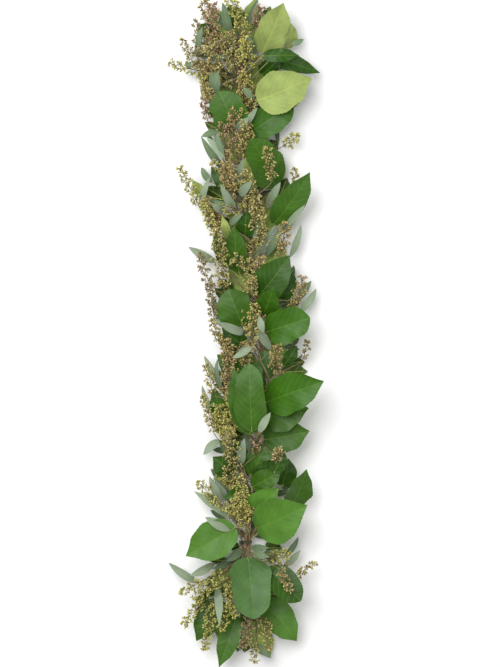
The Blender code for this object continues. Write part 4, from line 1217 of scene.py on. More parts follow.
# How often a bud has each of its panicle's three cap colours, and the colours of what holds them.
SEED_SHARES = (0.45, 0.3, 0.25)
STEM_LOOKS = {"lemon": (128, 84, 56), "eucalyptus": (134, 104, 84), "seeds": (140, 116, 90)}
FAR_STEM_LOOKS = {"lemon": (104, 100, 50), "eucalyptus": (112, 100, 66), "seeds": (112, 98, 62)}
TWIG_LOOKS = {"lemon": (150, 156, 84), "eucalyptus": (150, 140, 106), "seeds": (116, 104, 64)}
PALE_STALK = (176, 190, 96)
CUT_LOOK = (196, 178, 140)
TWINE_LOOK = (150, 122, 84)
WIRE_LOOK = (60, 80, 50)
WIRE_COATS = ((52, 70, 44), (78, 96, 66))
FLOOR_LOOK = (0.93, 0.93, 0.93, 1.0)

# What each stem's random draws start from.
DRESS_SEED = 1000


class End(NamedTuple):
    """How a blade's tip departs from the smooth outline: how much narrower it ends, from where on."""

    narrowing: float
    start: float


# The fine blades: the rows and columns of their faces, and how these close up to the tips and edges.
FRONT_GRID = {"lemon": (36, 12), "eucalyptus": (20, 6)}
INNER_GRID = {"lemon": (24, 8), "eucalyptus": (14, 4)}
BLADE_START = 0.004
BLADE_SPAN = 0.992
EVEN_ROWS = 0.55
CLOSING_ROWS = 0.225
EDGE_CLOSING = 1.25
BLADE_HALF = 0.22

# Their veins: the midrib's groove, and the swell between side veins that start this far apart.
VEIN_STEP = {"lemon": 13.0, "eucalyptus": 3.2}
VEIN_SLANT = {"lemon": 0.72, "eucalyptus": 1.1}
VEIN_CURVE = {"lemon": 0.014, "eucalyptus": 0.0}
QUILT_DEPTH = {"lemon": 0.32, "eucalyptus": 0.05}
QUILT_START = 5.0
GROOVE_WIDTH = 1.1
GROOVE_FADE = 0.6
GROOVE_DEPTHS = (0.35, 0.55)

# What is uneven in them: the outline's slow and quick bends, teeth, ripples, dimples and the ends.
EDGE_BENDS = {"lemon": (0.05, 0.025), "eucalyptus": (0.03, 0.0)}
BEND_TURNS = (1.3, 3.3)
TOOTH_DEPTH = 0.012
EDGE_FROM = 0.99
RIPPLE_DEPTH = {"lemon": 1.7, "eucalyptus": 0.4}
RIPPLE_TURNS = 2.4
DIMPLE_DEPTH = {"lemon": 0.55, "eucalyptus": 0.0}
DIMPLE_SIZES = (7.0, 5.5)
DIMPLE_SHIFT = 6
DRAWN_OUT = {"lemon": End(0.5, 0.78), "eucalyptus": End(0.1, 0.78)}
ROUND_END = End(-0.6, 0.6)
ROUND_TIPS = {(219, 91), (293, 105), (252, 140), (250, 157), (248, 158), (228, 290), (309, 318),
              (264, 351), (262, 352), (249, 361), (249, 364), (254, 616), (300, 597), (265, 446)}
LEAF_SHADES = (0.88, 1.12)

# How far a blade is calmed and lifted to clear the others, from which share of its length on, and
# the share of its length where its stalk runs into it.
EASES = ((1.0, 0.0), (0.5, 0.0), (0.5, 1.2), (0.5, -1.2), (0.3, 2.5), (0.3, -2.5), (0.3, 4.0),
         (0.3, -4.0), (0.3, 6.0), (0.3, -6.0), (0.3, 8.0), (0.3, -8.0), (0.3, -10.0))
LIFTED_FROM = 0.14
STALK_END = 0.07

# The rods of bark: their sides, how finely their curves are drawn, and how thick they are.
STEM_SIDES = 8
STEM_STEPS = 6
KNOT_DEPTH = 0.08
KNOT_STEP = 2.1
STALK_STEPS = 5
PETIOLE_SIDES = 6
PETIOLE_RADIUS = {"lemon": 1.0, "eucalyptus": 0.7}
PETIOLE_TAPER = 0.55
SEED_STALK_SIDES = 5
SEED_STALK_RADIUS = 0.85

# The buds: a cup with a pointed cap, drawn through rings at these shares of its length and radius.
BUD_LENGTH = 5.2
BUD_RADIUS = 1.35
BUD_SIDES = 5
BUD_PROFILE = ((0.0, 0.22), (0.33, 0.5), (0.64, 1.0))
INNER_BUD_PROFILE = ((0.0, 0.25), (0.62, 1.0))
BUD_SIZES = (0.85, 1.1)
BUD_SPREAD = 0.95
BUD_STALKS = (0.3, 1.6)
BUD_SHADES = (0.75, 1.2)
# Where along a bud the stalk's colour, darker partly as painted shade, turns into the cap's, lighter partly
# as a painted highlight.
CAP_START = 0.3
CAP_RISE = 1.6
BUD_ROOM = 1.9
COMPANY_RADIUS = 6.0
LEAST_COMPANY = 3

# The panicles: branchlets round an axis, each with buds at its tip, in its middle and on its side
# branch if it is long enough for them.
AXIS_POINTS = 7
AXIS_RADII = (0.8, 0.35)
AXIS_BUDS = 7
AXIS_END_ROOM = 1.0
FIRST_BRANCHLET = 1.0
BRANCHLET_STEP = 3.4
STEP_SPREAD = (0.8, 1.25)
GOLDEN_TURN = 2.39996
EDGE_REACH_ROOM = 1.0
FIRST_REACH = 0.65
REACH_GROWTH = 1.5
REACH_FALL = 0.6
REACH_SPREAD = (0.65, 1.1)
TIP_LEAN = 0.7
TIP_AHEAD = 1.5
TIP_ROOM = 3.0
MIDDLE_LEAN = 0.12
BRANCHLET_RADII = (0.5, 0.34)
BRANCHLET_BUDS = 6
MIDDLE_FROM = 4.0
MIDDLE_AHEAD = 0.5
MIDDLE_BUDS = 4
SIDE_FROM = 8.0
SIDE_OUT = 0.35
SIDE_ALONG = 0.2
SIDE_RADII = (0.36, 0.3)
SIDE_BUDS = 5
BRANCHLET_SIDES = 3

# The core: the plies of the twine, and the turns of the wire at each bind.
TWINE_STEP = 2.2
TWINE_PLIES = 3
PLY_RADIUS = 1.55
PLY_TURN = 14.0
PLY_SIDES = 5
WIRE_TURNS = 4
TURN_POINTS = 14
TURN_STEP = 1.5
WIRE_SIDES = 5

# What would reach below this depth over the floor is pressed flatter and flatter towards it, and
# an edge sharper than this angle is shaded as a sharp one.
FLOOR_DEPTH = 8.0
SHARP_ANGLE = 60


def linear(colour):
    """A screen colour as the linear one that light is reckoned in."""
    share = np.asarray(colour, float) / 255
    return np.where(share <= 0.04045, share / 12.92, ((share + 0.055) / 1.055) ** 2.4)


class Patch(NamedTuple):
    """A piece of surface: points in millimetres, faces, two things that its materials read at each
    point, and the finish of each face."""

    points: np.ndarray
    faces: list
    spots: np.ndarray
    tints: np.ndarray
    finishes: list


@cache
def sheet_faces(rows, columns):
    """The faces of a blade: its upper and lower sheets, the rim between them, and the two tips."""
    width = columns + 1
    count = (rows + 1) * width
    upper, lower, rim = [], [], []
    for i in range(rows):
        for j in range(columns):
            a = i * width + j
            upper.append((a, a + 1, a + 1 + width, a + width))
            lower.append((a + count, a + width + count, a + 1 + width + count, a + 1 + count))
        left, right = i * width, i * width + columns
        rim.append((left + width, left + width + count, left + count, left))
        rim.append((right, right + count, right + width + count, right + width))
    last, tip = rows * width, 2 * count
    for j in range(columns):
        rim.append((j, j + count, j + 1 + count, j + 1))
        upper.append((last + j, last + j + 1, tip))
        lower.append((last + j + 1 + count, last + j + count, tip))
    rim.append((last + count, last, tip))
    rim.append((last + columns, last + columns + count, tip))
    return upper, lower, rim


def blade_grid(rows, columns):
    """Where a blade's points lie: their shares of its length, and of its width to either side."""
    steps = np.arange(rows + 1) / rows
    closing = CLOSING_ROWS * (1 - np.cos(math.pi * steps))
    t = BLADE_START + BLADE_SPAN * (EVEN_ROWS * steps + closing)
    v = np.linspace(1, -1, columns + 1)
    s = np.sign(v) * np.abs(v) ** EDGE_CLOSING
    return (grid.reshape(-1) for grid in np.meshgrid(t, s, indexing="ij"))


def natural_bends(kind, t, s, half, along, end, dice):
    """How a leaf differs from the smooth blade: its drawn-out or round tip, uneven edges, ripples
    and dimples."""
    turns = dice.uniform(0, 1, 8)
    slow, quick, ripple = (np.where(s > 0, turns[k], turns[k + 1]) for k in (0, 2, 4))
    waves = [size * np.sin(2 * math.pi * (count * t + turn))
             for size, count, turn in zip(EDGE_BENDS[kind], BEND_TURNS, (slow, quick))]
    narrowing = end.narrowing * np.clip((t - end.start) / (1 - end.start), 0, 1)
    across = s * half * (s ** 2 * (waves[0] + waves[1]) - narrowing)
    rippled = np.sin(2 * math.pi * (RIPPLE_TURNS * t + ripple))
    raised = RIPPLE_DEPTH[kind] * s ** 2 * rippled * 4 * t * (1 - t)
    dimples = (np.sin(along / DIMPLE_SIZES[0] + DIMPLE_SHIFT * turns[6])
               * np.sin(s * half / DIMPLE_SIZES[1] + DIMPLE_SHIFT * turns[7]))
    raised += DIMPLE_DEPTH[kind] * dimples * (1 - s ** 2)
    return across, raised


def fine_blade(kind, grid, form, pose, look, end, ease, dice):
    """A leaf blade with its midrib, the swell between its side veins and its toothed edge."""
    rows, columns = grid
    t, s = blade_grid(rows, columns)
    middle = blade_surface(t, s, form)
    half = form.width / 2 * form.half_width(t)
    across = s * half
    beside = np.abs(across)
    along = t * form.length
    sideways, raised = natural_bends(kind, t, s, half, along, end, dice)
    middle[:, 1] += sideways
    ripple, lift = ease
    middle[:, 2] += ripple * raised + lift * np.clip(t / LIFTED_FROM, 0, 1)
    if kind == "lemon":
        teeth = 1 + TOOTH_DEPTH * np.where(np.arange(rows + 1) % 2, 1.0, -1.0).repeat(columns + 1)
        edge = np.abs(s) > EDGE_FROM
        middle[edge, 1] *= teeth[edge]
    phase = (along - VEIN_SLANT[kind] * beside - VEIN_CURVE[kind] * beside ** 2) / VEIN_STEP[kind]
    swell = -np.cos(2 * math.pi * phase) * np.clip(beside / QUILT_START, 0, 1) * (1 - np.abs(s) ** 3)
    swell *= QUILT_DEPTH[kind]
    groove = np.exp(-(across / GROOVE_WIDTH) ** 2) * (1 - GROOVE_FADE * t)
    upper, lower = middle.copy(), middle.copy()
    upper[:, 2] += BLADE_HALF + swell - GROOVE_DEPTHS[0] * groove
    lower[:, 2] += swell - BLADE_HALF - GROOVE_DEPTHS[1] * groove
    tip = blade_surface(np.array([1.0]), np.zeros(1), form) + np.array([0.0, 0.0, lift])
    points = pose.place(np.concatenate([upper, lower, tip]))
    number = dice.uniform(0, 100)
    spots = np.stack([along, beside, np.full(len(along), number)], -1)
    spots = np.concatenate([spots, spots, [[form.length, 0.0, number]]])
    face, under = (linear(colour) * dice.uniform(*LEAF_SHADES) for colour in look)
    count = len(along)
    tints = np.concatenate([np.tile(face, (count, 1)), np.tile(under, (count + 1, 1))])
    top, low = ("under", "top") if look is LEMON_LOOKS["pale"] else ("top", "under")
    sheets = sheet_faces(rows, columns)
    finishes = [f"{kind}_{side}" for faces, side in zip(sheets, (top, low, low)) for _ in faces]
    return Patch(points, sum(sheets, []), spots, tints, finishes)


def calm_blade(stem, laid, look, trees, dice):
    """A leaf blade with the ripple, and the small lift, that keep it clear of the blades before it,
    and its stalk."""
    plain = stem.behind or isinstance(laid.item, Inner)
    grid = (INNER_GRID if plain else FRONT_GRID)[stem.kind]
    upper = sheet_faces(*grid)[0]
    side = np.array([1.0, 1.0, -1.0 if stem.behind else 1.0])
    is_round = isinstance(laid.item, Leaf) and laid.item.tip in ROUND_TIPS
    end = ROUND_END if is_round else DRAWN_OUT[stem.kind]
    seed = dice.integers(1 << 30)
    best = None
    for ease in EASES:
        same_dice = np.random.default_rng(seed)
        patch = fine_blade(stem.kind, grid, laid.form, laid.pose, look, end, ease, same_dice)
        tree = BVHTree.FromPolygons((patch.points * side).tolist(), upper)
        crossings = sum(len(other.overlap(tree)) for other in trees)
        if best is None or crossings < best[0]:
            best = (crossings, patch, tree, ease[1])
        if not crossings:
            break
    _, patch, tree, lift = best
    trees.append(tree)
    colour = PALE_STALK if look is LEMON_LOOKS["pale"] else TWIG_LOOKS[stem.kind]
    return [patch, petiole(stem.kind, laid, lift, colour)]


def round_rod(path, radii, sides, colour, finish, end_colour=None, far_colour=None):
    """A round rod with closed ends, along a path of 3-D points, which may change colour on its way."""
    points, faces = tube(path, radii, sides, carried_frames)
    rings = len(path)
    near, far = linear(colour), linear(colour if far_colour is None else far_colour)
    tints = near + (far - near) * np.linspace(0, 1, rings).repeat(sides)[:, None]
    angle = np.arange(sides) / sides
    spots = np.stack([run_along(path).repeat(sides), np.tile(angle, rings), np.zeros(len(points))], -1)
    if end_colour is not None:
        tints[:sides] = linear(end_colour)
    return Patch(points, faces.tolist(), spots, tints, [finish] * len(faces))


def run_along(path):
    """How far along a path each of its points lies."""
    return np.concatenate([[0.0], np.cumsum(np.linalg.norm(np.diff(path, axis=0), axis=1))])


def petiole(kind, laid, lift, colour):
    """The stalk of a leaf: from inside its stem, into the midrib of the blade as far as it is lifted."""
    end = blade_surface(np.array([STALK_END]), np.zeros(1), laid.form)
    end[0, 2] += lift * STALK_END / LIFTED_FROM
    path = smooth_path(np.concatenate([laid.twig, laid.pose.place(end)]), STALK_STEPS)
    wide = PETIOLE_RADIUS[kind]
    radii = np.linspace(wide, PETIOLE_TAPER * wide, len(path))
    return round_rod(path, radii, PETIOLE_SIDES, colour, "bark")


def fine_stem(kind, path):
    """A cut stem: rough bark with slight knots, and a pale cut end."""
    line = smooth_path(path, STEM_STEPS)
    steps = np.arange(len(line))
    radii = np.interp(steps, [0, 3 * STEM_STEPS, len(line) - 1],
                      [STEM_RADIUS, STEM_RADIUS * STEM_TAPER, TWIG_RADIUS])
    radii = radii * (1 + KNOT_DEPTH * np.sin(steps * KNOT_STEP))
    return round_rod(line, radii, STEM_SIDES, STEM_LOOKS[kind], "bark", CUT_LOOK, FAR_STEM_LOOKS[kind])


def bud_shape(profile):
    """One bud along x: a cup with a pointed cap, as points and faces."""
    points, faces = [], []
    for share, wide in profile:
        for j in range(BUD_SIDES):
            a = 2 * math.pi * j / BUD_SIDES
            points.append((share * BUD_LENGTH, wide * BUD_RADIUS * math.cos(a),
                           wide * BUD_RADIUS * math.sin(a)))
    points.append((BUD_LENGTH, 0.0, 0.0))
    for ring in range(len(profile) - 1):
        for j in range(BUD_SIDES):
            a, b = ring * BUD_SIDES + j, ring * BUD_SIDES + (j + 1) % BUD_SIDES
            faces.append((a, b, b + BUD_SIDES, a + BUD_SIDES))
    last = (len(profile) - 1) * BUD_SIDES
    faces += [(last + j, last + (j + 1) % BUD_SIDES, len(points) - 1) for j in range(BUD_SIDES)]
    faces.append(tuple(reversed(range(BUD_SIDES))))
    return np.array(points), faces


FRONT_BUD, INNER_BUD = bud_shape(BUD_PROFILE), bud_shape(INNER_BUD_PROFILE)


def frames_along(directions):
    """For each direction, the rotation that brings x to it."""
    x = units(directions)
    helper = np.where(np.abs(x[:, 2:]) < 0.9, [[0.0, 0.0, 1.0]], [[1.0, 0.0, 0.0]])
    y = units(np.cross(helper, x))
    return np.stack([x, y, np.cross(x, y)], -1)


def bud_cluster(hub, ahead, count, dice):
    """Buds that spread from one hub: each one's place and direction."""
    spreads = [unit(ahead + BUD_SPREAD * unit(dice.normal(size=3))) for _ in range(count)]
    return [(hub + spread * dice.uniform(*BUD_STALKS), spread) for spread in spreads]


def branchlet_reach(share, width, dice):
    """How far a branchlet reaches out at this share of a panicle's length."""
    reach = (width / 2 - EDGE_REACH_ROOM) * min(1.0, FIRST_REACH + REACH_GROWTH * share)
    return reach * (1 - REACH_FALL * share ** 2) * dice.uniform(*REACH_SPREAD)


def branchlet(start, out, reach, most_ahead, dice):
    """One branchlet with its side branch and its buds: rods, and each bud's place and direction."""
    ahead = np.array([1.0, 0.0, 0.0])
    tip = start + out * reach + ahead * min(TIP_LEAN * reach + TIP_AHEAD, most_ahead)
    middle = (start + tip) / 2 + ahead * MIDDLE_LEAN * reach
    rods = [([start, tip], BRANCHLET_RADII)]
    heading = unit(tip - start)
    buds = bud_cluster(tip, heading, BRANCHLET_BUDS, dice)
    if reach > MIDDLE_FROM:
        buds += bud_cluster(middle, unit(out + MIDDLE_AHEAD * ahead), MIDDLE_BUDS, dice)
    if reach > SIDE_FROM:
        side = unit(np.cross(heading, ahead)) * dice.choice([-1, 1])
        near = middle + side * SIDE_OUT * reach + heading * SIDE_ALONG * reach
        rods.append(([middle, near], SIDE_RADII))
        buds += bud_cluster(near, unit(side + heading), SIDE_BUDS, dice)
    return rods, buds


def panicle(length, width, bend, dice):
    """The axis, branchlets and buds of one spray along x: rods, and each bud's place and direction."""
    def bent(points):
        """The points flattened and bent to the side, most of all in the middle."""
        points = np.array(points, float)
        share = np.clip(points[..., 0] / length, 0, 1)
        points[..., 1] += bend * length * (share ** 2 - share)
        points[..., 2] *= SPRAY_FLATNESS
        return points

    end_x = length - BUD_LENGTH
    axis = [(x, 0, 0) for x in np.linspace(0, end_x, AXIS_POINTS)]
    rods = [(axis, np.linspace(*AXIS_RADII, AXIS_POINTS))]
    last_hub = np.array([end_x - AXIS_END_ROOM, 0.0, 0.0])
    buds = bud_cluster(last_hub, np.array([1.0, 0.0, 0.0]), AXIS_BUDS, dice)
    x, turn = FIRST_BRANCHLET, dice.uniform(0, 2 * math.pi)
    while x < end_x:
        reach = branchlet_reach(x / length, width, dice)
        out = np.array([0.0, math.cos(turn), math.sin(turn)])
        more_rods, more_buds = branchlet(np.array([x, 0.0, 0.0]), out, reach, length - x - TIP_ROOM, dice)
        rods += more_rods
        buds += more_buds
        x += BRANCHLET_STEP * dice.uniform(*STEP_SPREAD)
        turn += GOLDEN_TURN
    places, directions = (np.array(found) for found in zip(*buds))
    return [(bent(path), np.array(radii)) for path, radii in rods], bent(places), directions


def in_company(places):
    """Which of these buds have a few others close by."""
    apart = np.linalg.norm(places[:, None] - places[None], axis=2)
    return (apart < COMPANY_RADIUS).sum(axis=1) > LEAST_COMPANY


def fine_spray(form, pose, look, bud, blades, dice):
    """One panicle in its place, without the buds that a leaf would lie in."""
    length, width, bend, _ = form
    rods, places, directions = panicle(length, width, bend, dice)
    places = pose.place(places)
    directions = directions @ pose.spin.T
    spans = BUD_LENGTH * dice.uniform(*BUD_SIZES, len(places))
    middles = places + directions * spans[:, None] / 2
    clear = [blades.find_nearest(middle.tolist(), BUD_ROOM)[0] is None for middle in middles]
    places, directions, spans = places[clear], directions[clear], spans[clear]
    close = in_company(places)
    if look.fullness < 1:
        close &= dice.random(len(places)) < look.fullness
    places, directions, spans = places[close], directions[close], spans[close]
    patches = [round_rod(pose.place(path), radii, BRANCHLET_SIDES, TWIG_LOOKS["seeds"], "bark")
               for path, radii in rods]
    if len(places):
        patches.append(many_buds(places, directions, spans, look, bud, dice))
    return patches


def many_buds(places, directions, spans, look, bud, dice):
    """All the buds of a panicle as one patch, each with its own shade and one of the caps' colours."""
    bud_points, bud_faces = bud
    count = len(bud_points)
    scale = spans / BUD_LENGTH
    spins = frames_along(directions)
    points = np.einsum("nij,kj->nki", spins, bud_points) * scale[:, None, None] + places[:, None]
    faces = [tuple(i + n * count for i in face) for n in range(len(places)) for face in bud_faces]
    share = np.tile(bud_points[:, 0] / BUD_LENGTH, len(places))
    picks = dice.choice(len(SEED_SHARES), len(places), p=SEED_SHARES).repeat(count)
    caps, stalk = np.array([linear(cap) for cap in look.caps])[picks], linear(look.stalk)
    shade = dice.uniform(*BUD_SHADES, (len(places), 1)).repeat(count, axis=0)
    # Each bud runs from the stalk colour, darkened partly as painted shade between the buds, to its cap
    # colour, lightened partly as a painted highlight.
    tints = (stalk + (caps - stalk) * np.clip(share * CAP_RISE - CAP_START, 0, 1)[:, None]) * shade
    number = dice.uniform(0, 100, len(places)).repeat(count)
    spots = np.stack([share, 0 * share, number], -1)
    return Patch(points.reshape(-1, 3), faces, spots, tints, ["bud"] * len(faces))


def twisted_twine():
    """The core's twine: plies wound round each other, in the thickness of the plain strand."""
    line = smooth_route([plan_point(*point) for point in TWINE_ROUTE], TWINE_STEP)
    run = run_along(line)
    ahead = units(np.gradient(line, axis=0))
    across = np.stack([-ahead[:, 1], ahead[:, 0]], -1)
    out = TWINE_RADIUS - PLY_RADIUS
    patches = []
    for ply in range(TWINE_PLIES):
        angle = 2 * math.pi * (run / PLY_TURN + ply / TWINE_PLIES)
        plan = line + across * (out * np.cos(angle))[:, None]
        path = np.concatenate([plan, (out * np.sin(angle))[:, None]], axis=1)
        patches.append(round_rod(path, PLY_RADIUS, PLY_SIDES, TWINE_LOOK, "twine"))
    return patches


def wound_wire():
    """The binding wire: a few tight turns round the stems at each bunch, then on to the next."""
    start = math.radians(WIRE_RUN_ANGLE)
    total = WIRE_TURNS * TURN_POINTS
    path = []
    for bunch in sorted(BUNCHES, key=lambda bunch: bunch.row):
        if not bunch.own_wire:
            continue
        hub = hub_of(bunch)
        seat = wire_seat(bunch)
        for k in range(total + 1):
            angle = start + 2 * math.pi * k / TURN_POINTS
            y = hub[1] + TURN_STEP * WIRE_TURNS * (0.5 - k / total)
            path.append((core_x(y) + seat * math.cos(angle), y, seat * math.sin(angle)))
    return [round_rod(np.array(path), WIRE_RADIUS, WIRE_SIDES, WIRE_LOOK, "wire")]


def dressed_stem(stem, number, blades, trees):
    """All the patches of one stem: its bark, its leaves or panicles, and their stalks."""
    dice = np.random.default_rng(DRESS_SEED + number)
    patches = [fine_stem(stem.kind, stem.path)]
    for laid in stem.laid:
        if stem.kind == "seeds":
            look = SEED_LOOKS[laid.item.look]
            path = smooth_path(laid.twig, STALK_STEPS)
            patches.append(round_rod(path, SEED_STALK_RADIUS, SEED_STALK_SIDES, TWIG_LOOKS["seeds"], "bark"))
            bud = INNER_BUD if isinstance(laid.item, Inner) else FRONT_BUD
            patches += fine_spray(laid.form, laid.pose, look, bud, blades, dice)
        else:
            looks = LEMON_LOOKS if stem.kind == "lemon" else LANCE_LOOKS
            patches += calm_blade(stem, laid, looks[laid.item.look], trees, dice)
    return patches


def placed(patch, behind, shift):
    """The patch in its place in the part, in metres, turned over if it lies behind the core,
    and pressed flatter and flatter towards the surface that the garland lies on."""
    points, faces = patch.points, patch.faces
    if behind:
        points = points * np.array([1.0, 1.0, -1.0])
        faces = [tuple(reversed(face)) for face in faces]
    points = points + shift
    low = points[:, 2] < FLOOR_DEPTH
    points[low, 2] = FLOOR_DEPTH * np.exp(points[low, 2] / FLOOR_DEPTH - 1)
    return patch._replace(points=points / 1000, faces=faces)


def mesh_piece(name, patches, materials):
    """One object of many patches, with the attributes that its materials read."""
    faces, count = [], 0
    for patch in patches:
        faces += [tuple(i + count for i in face) for face in patch.faces]
        count += len(patch.points)
    points, spots, tints = (np.concatenate(parts) for parts in zip(*[
        (patch.points, patch.spots, patch.tints) for patch in patches]))
    finishes = [finish for patch in patches for finish in patch.finishes]
    used = list(dict.fromkeys(finishes))
    slot_of = {finish: slot for slot, finish in enumerate(used)}
    mesh = bpy.data.meshes.new(name)
    mesh.from_pydata(points.tolist(), [], faces)
    mesh.polygons.foreach_set("material_index", [slot_of[finish] for finish in finishes])
    mesh.polygons.foreach_set("use_smooth", [True] * len(faces))
    spot = mesh.attributes.new("spot", "FLOAT_VECTOR", "POINT")
    spot.data.foreach_set("vector", spots.astype(np.float32).ravel())
    tint = mesh.attributes.new("tint", "FLOAT_COLOR", "POINT")
    colours = np.concatenate([tints, np.ones((count, 1))], axis=1)
    tint.data.foreach_set("color", colours.astype(np.float32).ravel())
    for finish in used:
        mesh.materials.append(materials[finish])
    mesh.set_sharp_from_angle(angle=math.radians(SHARP_ANGLE))
    return linked(name, mesh)


def linked(name, data):
    """A new object of this data, in the scene."""
    made = bpy.data.objects.new(name, data)
    bpy.context.scene.collection.objects.link(made)
    return made


class Nodes:
    """Adds shader nodes to a material and links them."""

    def __init__(self, name):
        self.material = bpy.data.materials.new(name)
        self.material.use_nodes = True
        self.tree = self.material.node_tree
        self.shader = self.tree.nodes["Principled BSDF"]

    def feed(self, socket, value):
        """Links a socket to another, or sets it to a plain value."""
        if isinstance(value, bpy.types.NodeSocket):
            self.tree.links.new(value, socket)
        else:
            socket.default_value = value

    def add(self, kind, inputs=None, **settings):
        """A new node with these inputs."""
        made = self.tree.nodes.new(kind)
        for key, value in settings.items():
            setattr(made, key, value)
        for key, value in (inputs or {}).items():
            self.feed(made.inputs[key], value)
        return made

    def link(self, value, name):
        """Gives the shader one of its inputs."""
        self.feed(self.shader.inputs[name], value)

    def math(self, operation, *values):
        """The result of one sum."""
        return self.add("ShaderNodeMath", dict(enumerate(values)), operation=operation).outputs[0]

    def read(self, name):
        """A node that reads one of the mesh's attributes."""
        return self.add("ShaderNodeAttribute", attribute_name=name)

    def place(self):
        """Where a point lies in its object."""
        return self.add("ShaderNodeTexCoord").outputs["Object"]

    def noise(self, where, scale, detail=3.0):
        """Noise that stays with the object."""
        inputs = {"Vector": where, "Scale": scale, "Detail": detail}
        return self.add("ShaderNodeTexNoise", inputs).outputs["Fac"]

    def ramp(self, value, low, high, start, end):
        """From start to end as the value goes from low to high."""
        inputs = {"Value": value, "From Min": low, "From Max": high, "To Min": start, "To Max": end}
        return self.add("ShaderNodeMapRange", inputs).outputs["Result"]

    def mix(self, share, one, two, blend="MIX"):
        """One colour mixed into another."""
        made = self.add("ShaderNodeMix", {0: share, 6: one, 7: two}, data_type="RGBA", blend_type=blend)
        return made.outputs[2]

    def shaded_tint(self, value, darkest, brightest):
        """The surface's own tint, darker or brighter as a noise value says."""
        shade = self.ramp(value, *NOISE_RANGE, darkest, brightest)
        grey = self.add("ShaderNodeCombineColor", {0: shade, 1: shade, 2: shade}).outputs[0]
        return self.mix(1.0, self.read("tint").outputs["Color"], grey, "MULTIPLY")

    def bump(self, height, strength, distance):
        """Gives the shader this relief."""
        inputs = {"Height": height, "Strength": strength, "Distance": distance}
        self.link(self.add("ShaderNodeBump", inputs).outputs["Normal"], "Normal")


# Each leaf surface's kind, how strongly its veins show, its roughness, coat and veins' colour.
LEAF_FINISHES = {
    "lemon_top": ("lemon", 0.42, 0.42, 0.05, (110, 146, 56)),
    "lemon_under": ("lemon", 0.5, 0.58, 0.0, (190, 198, 96)),
    "eucalyptus_top": ("eucalyptus", 0.28, 0.62, 0.0, (160, 172, 140)),
    "eucalyptus_under": ("eucalyptus", 0.3, 0.62, 0.0, (160, 172, 140)),
}

# Each speckled surface's scale and detail, its darkest and brightest, its roughness and relief.
SPECKLED_FINISHES = {
    "bark": (260.0, 4.0, (0.62, 1.25), 0.72, (0.6, 0.0004)),
    "bud": (420.0, 3.0, (0.75, 1.2), 0.6, (0.35, 0.0003)),
    "twine": (900.0, 4.0, (0.6, 1.2), 0.9, (0.7, 0.0004)),
}

# What the finishes share: the noise that they read, and in a leaf how wide and deep the midrib,
# the side veins and the net between them are, in millimetres and shares.
NOISE_RANGE = (0.3, 0.7)
SIDE_VEIN_EDGES = (0.15, 1.1)
MIDRIB_EDGES = (0.35, 1.2)
MIDRIB_FADE = (110.0, 0.35)
SIDE_VEIN_SHARE = 0.5
NET_SCALE = 700.0
NET_WIDTH = 0.12
NET_SHARE = 0.10
NET_DEPTH = -0.25
MOTTLE_SCALE = 38.0
MOTTLE_DETAIL = 5.0
MOTTLE_SHADES = (0.80, 1.16)
GLOSS_SCALE = 120.0
GLOSS_SPREAD = (-0.05, 0.07)
LEAF_SPECULAR = 0.22
COAT_ROUGHNESS = 0.3
WIRE_WEAR = (300.0, 0.45, 0.6)
WIRE_ROUGHNESS = 0.38
WIRE_METAL = 0.3
LEAF_BUMP = (0.5, 0.0003)


def leaf_finish(name, kind, vein_mix, roughness, coat, vein_colour):
    """A leaf surface: its tint mottled, with a midrib and curved side veins that also stand in relief."""
    nodes = Nodes(name)
    spot = nodes.add("ShaderNodeSeparateXYZ", {"Vector": nodes.read("spot").outputs["Vector"]})
    along, beside, number = (spot.outputs[k] for k in range(3))
    where = nodes.place()
    slanted = nodes.math("MULTIPLY", beside, VEIN_SLANT[kind])
    curved = nodes.math("MULTIPLY", nodes.math("MULTIPLY", beside, beside), VEIN_CURVE[kind])
    phase = nodes.math("SUBTRACT", nodes.math("SUBTRACT", along, slanted), curved)
    phase = nodes.math("FRACT", nodes.math("DIVIDE", phase, VEIN_STEP[kind]))
    near = nodes.math("MINIMUM", phase, nodes.math("SUBTRACT", 1.0, phase))
    side_vein = nodes.ramp(nodes.math("MULTIPLY", near, VEIN_STEP[kind]), *SIDE_VEIN_EDGES, 1.0, 0.0)
    midrib = nodes.ramp(beside, *MIDRIB_EDGES, 1.0, 0.0)
    midrib = nodes.math("MULTIPLY", midrib, nodes.ramp(along, 0.0, MIDRIB_FADE[0], 1.0, MIDRIB_FADE[1]))
    vein = nodes.math("MAXIMUM", nodes.math("MULTIPLY", side_vein, SIDE_VEIN_SHARE), midrib)
    cells = nodes.add("ShaderNodeTexVoronoi", {"Vector": where, "Scale": NET_SCALE},
                      feature="DISTANCE_TO_EDGE")
    net = nodes.ramp(cells.outputs["Distance"], 0.0, NET_WIDTH, 1.0, 0.0)
    shift = nodes.add("ShaderNodeCombineXYZ", {"X": number, "Y": number, "Z": number})
    moved = nodes.add("ShaderNodeVectorMath", {0: where, 1: shift.outputs[0]}, operation="ADD")
    base = nodes.shaded_tint(nodes.noise(moved.outputs[0], MOTTLE_SCALE, MOTTLE_DETAIL), *MOTTLE_SHADES)
    for share, amount in ((vein, vein_mix), (net, NET_SHARE)):
        base = nodes.mix(nodes.math("MULTIPLY", share, amount), base, (*linear(vein_colour), 1.0))
    nodes.link(base, "Base Color")
    rough = [roughness + spread for spread in GLOSS_SPREAD]
    nodes.link(nodes.ramp(nodes.noise(where, GLOSS_SCALE), *NOISE_RANGE, *rough), "Roughness")
    nodes.link(LEAF_SPECULAR, "Specular IOR Level")
    nodes.link(coat, "Coat Weight")
    nodes.link(COAT_ROUGHNESS, "Coat Roughness")
    sunk = nodes.math("MULTIPLY", vein, -1.0)
    nodes.bump(nodes.math("ADD", sunk, nodes.math("MULTIPLY", net, NET_DEPTH)), *LEAF_BUMP)
    return nodes.material


